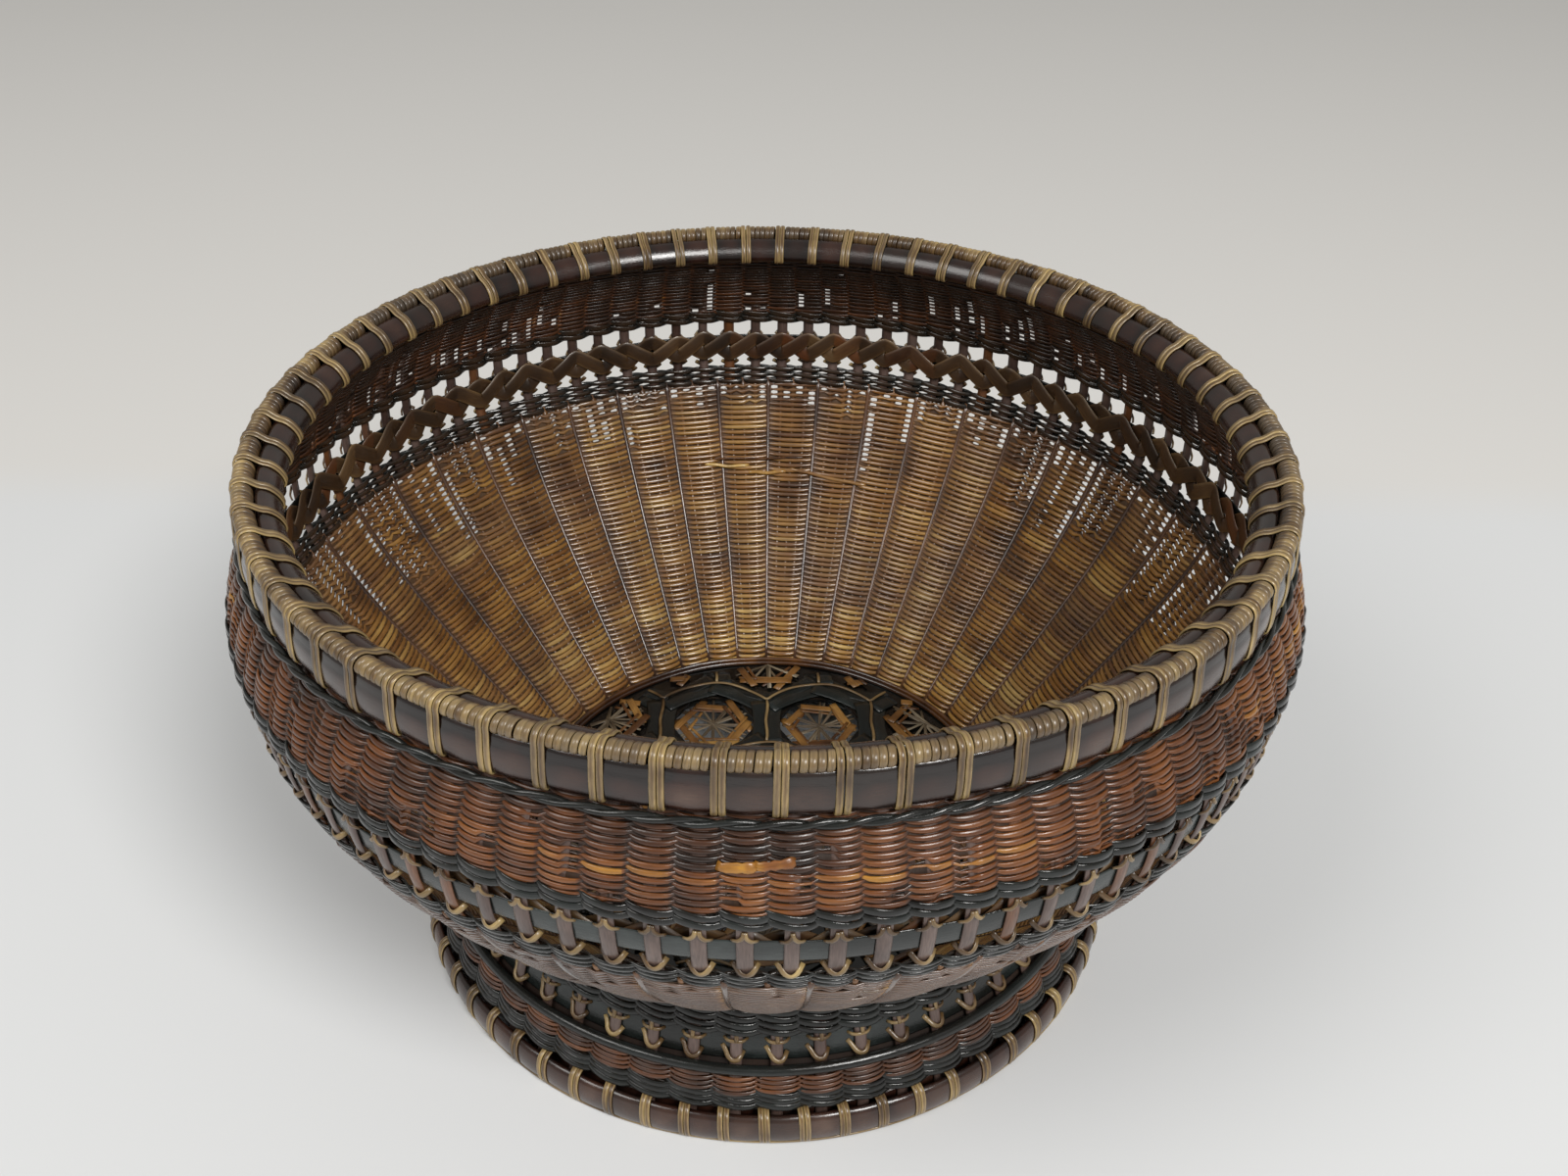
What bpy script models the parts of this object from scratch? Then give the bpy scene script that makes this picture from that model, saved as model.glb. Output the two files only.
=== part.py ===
"""Basket bowl: a woven cane bowl with a lashed rim, an openwork girdle and a flared foot.

Lengths are in metres, +Z is up, and the origin is on the ground at the centre of the foot.
Each piece is turned or looped round the bowl's axis, or lies flat in its floor.
"""

import math

import bmesh
import bpy

OBJECT_NAME = "basket_bowl"

# Clearance between pieces that touch, and how finely round pieces are divided
CLEARANCE = 0.0003
RING_SIDES = 40
CUT_OVERRUN = 0.0020

# The bowl as a whole: its rim, the swell of its belly and the cone down to its floor
RIM_RADIUS = 0.1950
BELLY_SWELL = 0.0156
BELLY_ROUND = 0.0600
SHOULDER_HEIGHT = 0.0561
NECK_CURVE = 2.6
CONE_HEIGHT = 0.1400
FLOOR_RADIUS = 0.1140
FLOOR_HEIGHT = 0.0320
BASE_WALL_RISE = 0.0020

# Rim: two hoops clamp the top of the wall, a thin cane covers the joint, one strand binds them
OUTER_HOOP_HEIGHT = 0.0156
OUTER_HOOP_THICKNESS = 0.0040
OUTER_HOOP_CROWN = 0.0006
INNER_HOOP_HEIGHT = 0.0098
INNER_HOOP_THICKNESS = 0.0087
INNER_HOOP_RISE = 0.0012
INNER_HOOP_EDGE = 0.0018
RIM_WALL_THICKNESS = 0.0030
RIM_WALL_TUCK = 0.0011
TOP_CANE_RADIUS = 0.0014
UNDER_CANE_RADIUS = 0.0018
BINDING_THICKNESS = 0.0008
RIM_LASHINGS = 71
RIM_LASHING_WIDTH = 0.0044
RIM_LASHING_START = math.radians(-88.7)

# Woven walls: two layers of rows with the stakes between them, in upright ribs with grooves between the ribs
ROW_THICKNESS = 0.0012
STAKE_THICKNESS = 0.0012
RIB_GROOVE = 0.0018
RIB_STEPS = 2
BAND_STEPS = 3
STAKES_PER_BAND = 2
UPPER_ROWS_HEIGHT = 0.0055
LOWER_ROWS_HEIGHT = 0.0080

# Openwork girdle: pentagonal windows between the stakes, a flat band and two crossing strips
OPENWORK_RISE = 0.0055
OPENWORK_HEIGHT = 0.0235
STAKES = 94
STAKE_WIDTH = 0.0044
STAKE_START = math.radians(-91.6)
BAND_THICKNESS = 0.0010
CROSS_STRIP_THICKNESS = 0.0009
WINDOW_SIDE = 0.0031
WINDOW_POINT = 0.0064

# Floor: a honeycomb plait with a rosette under each whole opening
FLOOR_THICKNESS = 0.0018
CELL_PITCH = 0.0514
CELL_OPENING = 0.0370
CELL_OFFSET = 0.0130
CELL_SIDES = 6
ROSETTE_THICKNESS = 0.0013
ROSETTE_LAP = 0.0020
ROSETTE_HOLE = 0.0190
FLOOR_MARGIN = 0.0040
FLOOR_RING_WIDTH = 0.0040
FLOOR_RING_HEIGHT = 0.0025

# Foot: stakes with woven rings round them, standing on two lashed hoops
FOOT_FLARE = 0.0140
FOOT_HOOP_HEIGHT = 0.0140
FOOT_HOOP_THICKNESS = 0.0042
FOOT_HOOP_EDGE = 0.0014
FOOT_INNER_HOOP_HEIGHT = 0.0115
FOOT_INNER_HOOP_THICKNESS = 0.0045
FOOT_STAKE_THICKNESS = 0.0020
FOOT_STAKE_LIFT = 0.0005
FOOT_STAKES = 55
FOOT_STAKE_WIDTH = 0.0042
FOOT_STAKE_START = math.radians(-94.3)
FOOT_LOWER_ROWS_HEIGHT = 0.0066
FOOT_BROWN_ROWS_HEIGHT = 0.0083
FOOT_CANE_HEIGHT = 0.0048
FOOT_BAND_HEIGHT = 0.0105
FOOT_UPPER_ROWS_HEIGHT = 0.0104
FOOT_LASHINGS = 62
FOOT_LASHING_WIDTH = 0.0034
FOOT_LASHING_START = math.radians(-89.7)
FOOT_BINDING_HEIGHT = 0.0012

# Sizes that follow from those above
FACET = math.cos(math.pi / RING_SIDES)
BELLY_HEIGHT = FLOOR_HEIGHT + CONE_HEIGHT
RIM_HEIGHT = BELLY_HEIGHT + SHOULDER_HEIGHT
NECK_HEIGHT = RIM_HEIGHT - OUTER_HOOP_HEIGHT
NECK_RADIUS = RIM_RADIUS - OUTER_HOOP_THICKNESS - CLEARANCE
BELLY_RADIUS = NECK_RADIUS + BELLY_SWELL
CONE_FLARE = (BELLY_RADIUS - FLOOR_RADIUS) / (math.hypot(CONE_HEIGHT, BELLY_ROUND) - BELLY_ROUND)
FACET_DEPTH = BELLY_RADIUS * (1 - FACET)
STAKE_DEPTH = ROW_THICKNESS + CLEARANCE + FACET_DEPTH
INNER_ROW_DEPTH = STAKE_DEPTH + STAKE_THICKNESS + CLEARANCE
WALL_THICKNESS = INNER_ROW_DEPTH + ROW_THICKNESS
OPENWORK_TOP = BELLY_HEIGHT + OPENWORK_RISE
OPENWORK_BOTTOM = OPENWORK_TOP - OPENWORK_HEIGHT
FOOT_ROWS_BOTTOM = FOOT_HOOP_HEIGHT + CLEARANCE + FOOT_BINDING_HEIGHT + CLEARANCE
FOOT_LOWER_ROWS_TOP = FOOT_ROWS_BOTTOM + FOOT_LOWER_ROWS_HEIGHT
FOOT_BROWN_ROWS_TOP = FOOT_LOWER_ROWS_TOP + FOOT_BROWN_ROWS_HEIGHT
FOOT_CANE_TOP = FOOT_BROWN_ROWS_TOP + FOOT_CANE_HEIGHT
FOOT_BAND_TOP = FOOT_CANE_TOP + FOOT_BAND_HEIGHT
FOOT_NECK_HEIGHT = FOOT_BAND_TOP + FOOT_UPPER_ROWS_HEIGHT


def bare_scene():
    """Removes what a new scene holds and makes the two collections."""
    for thing in list(bpy.data.objects):
        bpy.data.objects.remove(thing, do_unlink=True)
    made = []
    for name in (OBJECT_NAME, OBJECT_NAME + "_cutters"):
        collection = bpy.data.collections.new(name)
        bpy.context.scene.collection.children.link(collection)
        made.append(collection)
    return made


PARTS, CUTTERS = bare_scene()


def linear(channel):
    """An sRGB channel from 0 to 1 as linear light."""
    return channel / 12.92 if channel <= 0.04045 else ((channel + 0.055) / 1.055) ** 2.4


def finish(name, colour, roughness):
    """A plain surface for one piece: an sRGB hex colour and a roughness."""
    material = bpy.data.materials.new(name + "_finish")
    material.use_nodes = True
    shader = material.node_tree.nodes["Principled BSDF"]
    channels = [int(colour[i : i + 2], 16) / 255 for i in (1, 3, 5)]
    shader.inputs["Base Color"].default_value = (*map(linear, channels), 1)
    shader.inputs["Roughness"].default_value = roughness
    shader.inputs["Metallic"].default_value = 0
    return material


BLACK_CANE = ("#2b2a28", 0.35)
BROWN_CANE = ("#4a3630", 0.35)
MAUVE_CANE = ("#6b5850", 0.40)
TAN_CANE = ("#a98a55", 0.50)
ORANGE_CANE = ("#a86b2c", 0.50)
RED_WICKER = ("#5a3420", 0.45)
GOLD_WICKER = ("#7a5a30", 0.50)


def place(name, mesh, surface):
    """Puts a mesh in the scene as one named piece with its own material."""
    piece = bpy.data.objects.new(name, mesh)
    PARTS.objects.link(piece)
    mesh.materials.append(finish(name, *surface))
    return piece


def smooth(mesh):
    mesh.shade_smooth()
    mesh.set_sharp_from_angle(angle=math.radians(40))


def turned(name, outline, surface, sides=RING_SIDES):
    """A ring turned from a closed outline of (radius, height) points, outer side first, top to bottom."""
    mesh = bpy.data.meshes.new(name)
    count = len(outline)
    points = [(radius, 0, height) for radius, height in outline]
    mesh.from_pydata(points, [(i, (i + 1) % count) for i in range(count)], [])
    piece = place(name, mesh, surface)
    screw = piece.modifiers.new("turn", "SCREW")
    screw.steps = screw.render_steps = sides
    screw.use_merge_vertices = True
    screw.merge_threshold = 0.0001
    screw.use_smooth_shade = True
    return piece


def looped(name, sections, surface):
    """A ring lofted through sections given in order round the axis: each is (angle, outline)."""
    form = bmesh.new()
    rows = []
    for angle, outline in sections:
        turn = (math.cos(angle), math.sin(angle))
        rows.append([form.verts.new((r * turn[0], r * turn[1], z)) for r, z in outline])
    for row, after in zip(rows, rows[1:] + rows[:1]):
        for i in range(len(row)):
            j = (i + 1) % len(row)
            form.faces.new((row[i], row[j], after[j], after[i]))
    mesh = bpy.data.meshes.new(name)
    form.to_mesh(mesh)
    form.free()
    smooth(mesh)
    return place(name, mesh, surface)


def ribbed(name, groove, crest, ribs, steps, surface):
    """A ring of upright ribs, lofted through the outline of the grooves between them and that of their crests.

    Each rib takes steps sections, the first in a groove. The first groove lies half a stake's pitch before the
    first stake.
    """
    start = STAKE_START - math.pi / STAKES
    pitch = 2 * math.pi / ribs
    outlines = [groove] + [crest] * (steps - 1)
    sections = []
    for rib in range(ribs):
        for step, outline in enumerate(outlines):
            sections.append((start + (rib + step / steps) * pitch, outline))
    looped(name, sections, surface)


def toothed(name, outline, teeth, count, width, start, surface):
    """A turned ring with teeth: teeth gives, for some edges of the outline, the points that a tooth adds there.

    The teeth stand count times round the ring, width wide at the outline's largest radius, the first at start.
    """
    form = bmesh.new()
    pitch = 2 * math.pi / count
    half = width / max(radius for radius, height in outline) / 2
    edges = [start + k * pitch + side * half for k in range(count) for side in (-1, 1)]

    def row_at(angle):
        turn = (math.cos(angle), math.sin(angle))
        plain = [form.verts.new((r * turn[0], r * turn[1], z)) for r, z in outline]
        extra = {
            edge: [form.verts.new((r * turn[0], r * turn[1], z)) for r, z in points]
            for edge, points in teeth.items()
        }
        return plain, extra

    def chain(row, with_teeth):
        plain, extra = row
        verts = []
        for i, vert in enumerate(plain):
            verts.append(vert)
            if with_teeth and i in extra:
                verts.extend(extra[i])
        return verts

    rows = [row_at(angle) for angle in edges]
    for k, row in enumerate(rows):
        in_tooth = k % 2 == 0
        a, b = chain(row, in_tooth), chain(rows[(k + 1) % len(rows)], in_tooth)
        for i in range(len(a)):
            j = (i + 1) % len(a)
            form.faces.new((a[i], a[j], b[j], b[i]))
        plain, extra = row
        for edge, verts in extra.items():
            side = [plain[edge], *verts, plain[(edge + 1) % len(plain)]]
            form.faces.new(reversed(side) if in_tooth else side)
    mesh = bpy.data.meshes.new(name)
    form.to_mesh(mesh)
    form.free()
    smooth(mesh)
    return place(name, mesh, surface)


def wall_radius(height):
    """The bowl's outer radius: a hyperbola below the belly that runs out as a cone, a power curve above it."""
    if height < BELLY_HEIGHT:
        return BELLY_RADIUS - CONE_FLARE * (math.hypot(BELLY_HEIGHT - height, BELLY_ROUND) - BELLY_ROUND)
    rise = min((height - BELLY_HEIGHT) / (NECK_HEIGHT - BELLY_HEIGHT), 1)
    return BELLY_RADIUS - BELLY_SWELL * rise**NECK_CURVE


def wall_point(height, depth):
    """The point a given depth inside the bowl's outer surface, measured square to it."""
    slope = 0.0
    if height < BELLY_HEIGHT:
        drop = BELLY_HEIGHT - height
        slope = CONE_FLARE * drop / math.hypot(drop, BELLY_ROUND)
    return wall_radius(height) - depth * math.hypot(1, slope), height


def seat_height(radius):
    """The height at which the outside of the lower wall has this radius."""
    reach = (BELLY_RADIUS - radius) / CONE_FLARE + BELLY_ROUND
    return BELLY_HEIGHT - math.sqrt(reach**2 - BELLY_ROUND**2)


def layer(heights, outer_depth, inner_depth):
    """The outline of one layer of the bowl's wall through these heights, given from the top down."""
    outer = [wall_point(height, outer_depth) for height in heights]
    inner = [wall_point(height, inner_depth) for height in heights]
    return outer + inner[::-1]


def spread(top, bottom, count):
    """Heights from top to bottom in equal steps."""
    return [top + (bottom - top) * i / (count - 1) for i in range(count)]


def round_outline(radius, height, size, sides, start=0.0):
    """The outline of a round cane of a given radius whose centre line lies at (radius, height)."""
    turns = [start - 2 * math.pi * i / sides for i in range(sides)]
    return [(radius + size * math.cos(turn), height + size * math.sin(turn)) for turn in turns]


def rim():
    """The hoops, the two thin canes and the strand that binds the rim."""
    inner_hoop_radius = NECK_RADIUS - RIM_WALL_THICKNESS - CLEARANCE
    inner_face = inner_hoop_radius - INNER_HOOP_THICKNESS
    inner_top = RIM_HEIGHT + INNER_HOOP_RISE
    inner_bottom = inner_top - INNER_HOOP_HEIGHT
    outer_back = RIM_RADIUS - OUTER_HOOP_THICKNESS
    turned("rim_outer_hoop", [
        (RIM_RADIUS - OUTER_HOOP_CROWN, RIM_HEIGHT),
        (RIM_RADIUS, RIM_HEIGHT - OUTER_HOOP_HEIGHT / 2),
        (RIM_RADIUS - OUTER_HOOP_CROWN, NECK_HEIGHT),
        (outer_back, NECK_HEIGHT),
        (outer_back, RIM_HEIGHT),
    ], BROWN_CANE)
    turned("rim_inner_hoop", [
        (inner_hoop_radius, inner_top),
        (inner_hoop_radius, inner_bottom),
        (inner_face + INNER_HOOP_EDGE, inner_bottom),
        (inner_face, inner_bottom + INNER_HOOP_EDGE),
        (inner_face, inner_top - INNER_HOOP_EDGE),
        (inner_face + INNER_HOOP_EDGE, inner_top),
    ], BROWN_CANE)

    cane_radius = NECK_RADIUS + CLEARANCE + TOP_CANE_RADIUS / 2
    cane_height = RIM_HEIGHT + CLEARANCE + TOP_CANE_RADIUS
    ring_radius = cane_radius + FACET_DEPTH / 2
    turned("rim_top_cane", round_outline(ring_radius, cane_height, TOP_CANE_RADIUS, 4), TAN_CANE)
    under_radius = wall_radius(NECK_HEIGHT - CLEARANCE - 2 * UNDER_CANE_RADIUS) + CLEARANCE + UNDER_CANE_RADIUS
    turned("rim_under_cane", round_outline(
        under_radius, NECK_HEIGHT - CLEARANCE - UNDER_CANE_RADIUS, UNDER_CANE_RADIUS, 4,
    ), BLACK_CANE)

    inside = TOP_CANE_RADIUS + 2 * CLEARANCE
    outside = inside + BINDING_THICKNESS
    steps = [math.radians(turn) for turn in (180, 90, 0)]
    over = [(cane_radius + outside * math.cos(t), cane_height + outside * math.sin(t)) for t in steps]
    under = [(cane_radius + inside * math.cos(t), cane_height + inside * math.sin(t)) for t in steps[::-1]]
    front = RIM_RADIUS + CLEARANCE
    back = inner_face * FACET - CLEARANCE
    top = inner_top + CLEARANCE
    outer_end, inner_end = 2, 5
    toothed("rim_binding", over + under, {
        outer_end: [
            (front + BINDING_THICKNESS, cane_height - inside / 2),
            (front + BINDING_THICKNESS, NECK_HEIGHT),
            (front, NECK_HEIGHT),
            (front, cane_height - inside),
        ],
        inner_end: [
            (back, top),
            (back, inner_bottom),
            (back - BINDING_THICKNESS, inner_bottom),
            (back - BINDING_THICKNESS, top + BINDING_THICKNESS),
        ],
    }, RIM_LASHINGS, RIM_LASHING_WIDTH, RIM_LASHING_START, TAN_CANE)


def upper_wall():
    """The wicker between the openwork and the rim, a rib to each stake, clamped by the hoops at its top."""
    bottom = OPENWORK_TOP + UPPER_ROWS_HEIGHT + CLEARANCE
    heights = spread(NECK_HEIGHT, bottom, 4)[1:]
    top = RIM_HEIGHT - RIM_WALL_TUCK
    outer_neck = NECK_RADIUS * FACET
    inner_neck = NECK_RADIUS - RIM_WALL_THICKNESS

    def outline(groove):
        woven = layer(heights, groove, WALL_THICKNESS - groove)
        return [(outer_neck, top), (outer_neck, NECK_HEIGHT), *woven, (inner_neck, NECK_HEIGHT), (inner_neck, top)]

    ribbed("upper_wall", outline(RIB_GROOVE), outline(0), STAKES, RIB_STEPS, RED_WICKER)


def twined_rows(name, top, bottom):
    """Black rows in two layers that grip the stakes between them."""
    turned(name + "_outer", layer((top, bottom), 0, ROW_THICKNESS), BLACK_CANE)
    turned(name + "_inner", layer((top, bottom), INNER_ROW_DEPTH, WALL_THICKNESS), BLACK_CANE)


def openwork():
    """The stakes, the flat band behind them and the two strips that cross behind the band."""
    rows_top = OPENWORK_TOP + UPPER_ROWS_HEIGHT
    rows_bottom = OPENWORK_BOTTOM - LOWER_ROWS_HEIGHT
    twined_rows("upper_twining", rows_top, OPENWORK_TOP)
    twined_rows("lower_twining", OPENWORK_BOTTOM, rows_bottom)
    inner_depth = STAKE_DEPTH + STAKE_THICKNESS
    middle = (OPENWORK_TOP + OPENWORK_BOTTOM) / 2
    half_band = (OPENWORK_TOP - OPENWORK_BOTTOM) / 2 - WINDOW_POINT
    band_edges = (middle + half_band, middle - half_band)
    rail = layer((OPENWORK_BOTTOM, rows_bottom), STAKE_DEPTH, inner_depth)
    bar = layer((rows_top, *band_edges), STAKE_DEPTH, inner_depth)
    top_edge = 3
    toothed("stakes", rail, {top_edge: bar[3:] + bar[:3]},
            STAKES, STAKE_WIDTH, STAKE_START, MAUVE_CANE)
    band_depth = inner_depth + CLEARANCE
    band_back = band_depth + BAND_THICKNESS
    turned("flat_band", layer(band_edges, band_depth, band_back), BLACK_CANE)

    pitch = 2 * math.pi / STAKES
    arc = pitch * (wall_radius(middle) - band_back)
    slope = (WINDOW_POINT - WINDOW_SIDE) / ((arc - STAKE_WIDTH) / 2)
    swing = slope * arc / 2
    sagitta = half_band**2 / (2 * BELLY_ROUND)
    depth = band_back + CLEARANCE + FACET_DEPTH
    for side, name in ((1, "cross_strip_left"), (-1, "cross_strip_right")):
        back = depth + CROSS_STRIP_THICKNESS
        sections = []
        for k in range(STAKES):
            centre = middle + swing * side * (1 if k % 2 else -1)
            outline = layer((centre + half_band, centre - half_band), depth, back)
            sections.append((STAKE_START + k * pitch, outline))
        looped(name, sections, GOLD_WICKER)
        depth = back + 2 * CLEARANCE + sagitta


def lower_wall():
    """The fine wicker cone: the banded wall from the openwork to the foot, and the base wall on to the floor."""
    seam = FOOT_NECK_HEIGHT + BASE_WALL_RISE
    top = OPENWORK_BOTTOM - LOWER_ROWS_HEIGHT - CLEARANCE
    heights = spread(top, seam + CLEARANCE, 4)
    groove = layer(heights, RIB_GROOVE, WALL_THICKNESS - RIB_GROOVE)
    crest = layer(heights, 0, WALL_THICKNESS)
    ribbed("lower_wall", groove, crest, STAKES // STAKES_PER_BAND, BAND_STEPS, GOLD_WICKER)
    underside = FLOOR_HEIGHT - FLOOR_THICKNESS
    turned("base_wall", layer((seam, underside), 0, WALL_THICKNESS), GOLD_WICKER)


def prism(name, radius, bottom, top, place_at):
    """A cutter: an upright prism of six sides with its flats facing +X and -X."""
    bpy.ops.mesh.primitive_cylinder_add(
        vertices=CELL_SIDES, radius=radius, depth=top - bottom,
        location=(*place_at, (top + bottom) / 2), rotation=(0, 0, math.pi / CELL_SIDES),
    )
    cutter = bpy.context.object
    cutter.name = name
    for home in list(cutter.users_collection):
        home.objects.unlink(cutter)
    CUTTERS.objects.link(cutter)
    cutter.hide_render = True
    cutter.display_type = "WIRE"
    return cutter


def cell_centres(reach):
    """The centres of the honeycomb's cells that lie within reach of the bowl's axis, row by row."""
    row_pitch = CELL_PITCH * math.sqrt(3) / 2
    rows = math.ceil(reach / row_pitch) + 1
    centres = []
    for row in range(-rows, rows + 1):
        for column in range(-rows, rows + 1):
            x = (column + (row % 2) / 2) * CELL_PITCH
            y = CELL_OFFSET + row * row_pitch
            if math.hypot(x, y) < reach:
                centres.append((x, y))
    return centres


def floor():
    """The honeycomb plait with its openings, the rosettes under them and the cane round the edge."""
    underside = FLOOR_HEIGHT - FLOOR_THICKNESS
    radius = wall_point(underside, WALL_THICKNESS)[0] * FACET - CLEARANCE
    bpy.ops.mesh.primitive_cylinder_add(
        vertices=RING_SIDES, radius=radius, depth=FLOOR_THICKNESS,
        location=(0, 0, FLOOR_HEIGHT - FLOOR_THICKNESS / 2),
    )
    plait = bpy.context.object
    plait.name = plait.data.name = "floor_plait"
    for home in list(plait.users_collection):
        home.objects.unlink(plait)
    PARTS.objects.link(plait)
    plait.data.materials.append(finish("floor_plait", *BLACK_CANE))
    corner = CELL_OPENING / math.sqrt(3)
    centres = cell_centres(radius - corner - FLOOR_MARGIN)
    top = underside - CLEARANCE
    lap = corner + ROSETTE_LAP
    for number, centre in enumerate(centres, 1):
        cutter = prism(f"cell_opening_{number:02d}", corner, underside - CUT_OVERRUN,
                       FLOOR_HEIGHT + CUT_OVERRUN, centre)
        cut = plait.modifiers.new(cutter.name, "BOOLEAN")
        cut.operation = "DIFFERENCE"
        cut.object = cutter
        rosette = turned(f"floor_rosette_{number:02d}", [
            (lap, top),
            (lap, top - ROSETTE_THICKNESS),
            (ROSETTE_HOLE / 2, top - ROSETTE_THICKNESS),
            (ROSETTE_HOLE / 2, top),
        ], ORANGE_CANE, CELL_SIDES)
        rosette.location = (*centre, 0)

    ring_bottom = FLOOR_HEIGHT + CLEARANCE
    ring_radius = wall_point(ring_bottom, WALL_THICKNESS)[0] - CLEARANCE * 2
    turned("floor_ring", [
        (ring_radius, ring_bottom + FLOOR_RING_HEIGHT),
        (ring_radius, ring_bottom),
        (ring_radius - FLOOR_RING_WIDTH, ring_bottom),
        (ring_radius - FLOOR_RING_WIDTH / 2, ring_bottom + FLOOR_RING_HEIGHT),
    ], TAN_CANE)


def foot():
    """The flared foot: stakes, woven rings and the lashed hoops."""
    seat_gap = 2 * CLEARANCE
    neck_radius = wall_radius(FOOT_NECK_HEIGHT + seat_gap)
    hoop_radius = neck_radius + FOOT_FLARE
    flare = FOOT_FLARE / (FOOT_NECK_HEIGHT - FOOT_ROWS_BOTTOM)

    def foot_radius(height):
        return neck_radius + (FOOT_NECK_HEIGHT - height) * flare

    def seat_point(depth):
        """Where the foot at this depth behind its outer face meets the outside of the bowl."""
        radius = neck_radius - depth
        for attempt in range(12):
            radius = foot_radius(seat_height(radius) - seat_gap) - depth
        return radius, seat_height(radius) - seat_gap

    def ring(name, top, bottom, surface):
        turned(name, [
            (foot_radius(top), top),
            (foot_radius(bottom), bottom),
            (foot_radius(bottom) - ROW_THICKNESS, bottom),
            (foot_radius(top) - ROW_THICKNESS, top),
        ], surface)

    facet_depth = hoop_radius * (1 - FACET)
    stake_depth = ROW_THICKNESS + CLEARANCE + facet_depth
    back_depth = stake_depth + FOOT_STAKE_THICKNESS
    ring("foot_lower_rows", FOOT_LOWER_ROWS_TOP - CLEARANCE, FOOT_ROWS_BOTTOM, BLACK_CANE)
    ring("foot_brown_rows", FOOT_BROWN_ROWS_TOP - CLEARANCE, FOOT_LOWER_ROWS_TOP, RED_WICKER)
    ring("foot_cane", FOOT_CANE_TOP - CLEARANCE, FOOT_BROWN_ROWS_TOP, BLACK_CANE)
    turned("foot_upper_rows", [
        seat_point(0),
        (foot_radius(FOOT_BAND_TOP), FOOT_BAND_TOP),
        (foot_radius(FOOT_BAND_TOP) - ROW_THICKNESS, FOOT_BAND_TOP),
        seat_point(ROW_THICKNESS),
    ], BLACK_CANE)
    band_front = back_depth + CLEARANCE
    turned("foot_band", [
        (foot_radius(FOOT_BAND_TOP) - band_front, FOOT_BAND_TOP),
        (foot_radius(FOOT_CANE_TOP) - band_front, FOOT_CANE_TOP),
        (foot_radius(FOOT_CANE_TOP) - band_front - BAND_THICKNESS, FOOT_CANE_TOP),
        (foot_radius(FOOT_BAND_TOP) - band_front - BAND_THICKNESS, FOOT_BAND_TOP),
    ], BLACK_CANE)

    core_front = hoop_radius - stake_depth
    hoop_back = core_front + CLEARANCE + facet_depth
    hoop_front = hoop_back + FOOT_HOOP_THICKNESS
    core_back = core_front - FOOT_STAKE_THICKNESS
    land_top = FOOT_CANE_TOP - CLEARANCE
    top_edge = 5
    toothed("foot_stakes", [
        (foot_radius(land_top) - stake_depth, land_top),
        (core_front, FOOT_ROWS_BOTTOM),
        (core_front, FOOT_STAKE_LIFT),
        (core_back, FOOT_STAKE_LIFT),
        (core_back, FOOT_ROWS_BOTTOM),
        (foot_radius(land_top) - back_depth, land_top),
    ], {top_edge: [seat_point(back_depth), seat_point(stake_depth)]},
            FOOT_STAKES, FOOT_STAKE_WIDTH, FOOT_STAKE_START, MAUVE_CANE)

    turned("foot_outer_hoop", [
        (hoop_front - FOOT_HOOP_EDGE, FOOT_HOOP_HEIGHT),
        (hoop_front, FOOT_HOOP_HEIGHT / 2),
        (hoop_front - FOOT_HOOP_EDGE, 0),
        (hoop_back, 0),
        (hoop_back, FOOT_HOOP_HEIGHT),
    ], BROWN_CANE)
    inner_front = core_back * math.cos(math.pi / FOOT_STAKES) - CLEARANCE
    turned("foot_inner_hoop", [
        (inner_front, FOOT_INNER_HOOP_HEIGHT),
        (inner_front, 0),
        (inner_front - FOOT_INNER_HOOP_THICKNESS, 0),
        (inner_front - FOOT_INNER_HOOP_THICKNESS, FOOT_INNER_HOOP_HEIGHT),
    ], BROWN_CANE)

    strand_bottom = FOOT_HOOP_HEIGHT + CLEARANCE
    strand_top = strand_bottom + FOOT_BINDING_HEIGHT
    face = hoop_front + CLEARANCE
    outer_edge = 0
    toothed("foot_binding", [
        (hoop_front - FOOT_HOOP_EDGE, strand_top),
        (hoop_front - FOOT_HOOP_EDGE, strand_bottom),
        (hoop_back, strand_bottom),
        (hoop_back, strand_top),
    ], {outer_edge: [
        (face + BINDING_THICKNESS, strand_top),
        (face + BINDING_THICKNESS, FOOT_STAKE_LIFT),
        (face, FOOT_STAKE_LIFT),
        (face, strand_bottom),
    ]}, FOOT_LASHINGS, FOOT_LASHING_WIDTH, FOOT_LASHING_START, TAN_CANE)


def main():
    rim()
    upper_wall()
    openwork()
    lower_wall()
    floor()
    foot()


main()
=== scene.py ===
"""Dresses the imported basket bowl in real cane: every weaver, stake, wrap and lashing is a strand of its own.

Lengths are in metres and angles in radians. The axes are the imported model's, with +Z up the bowl's axis and
-Y towards the side that the photograph shows.
"""
import math

import bpy
import numpy as np
from mathutils import Matrix, Vector


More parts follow.
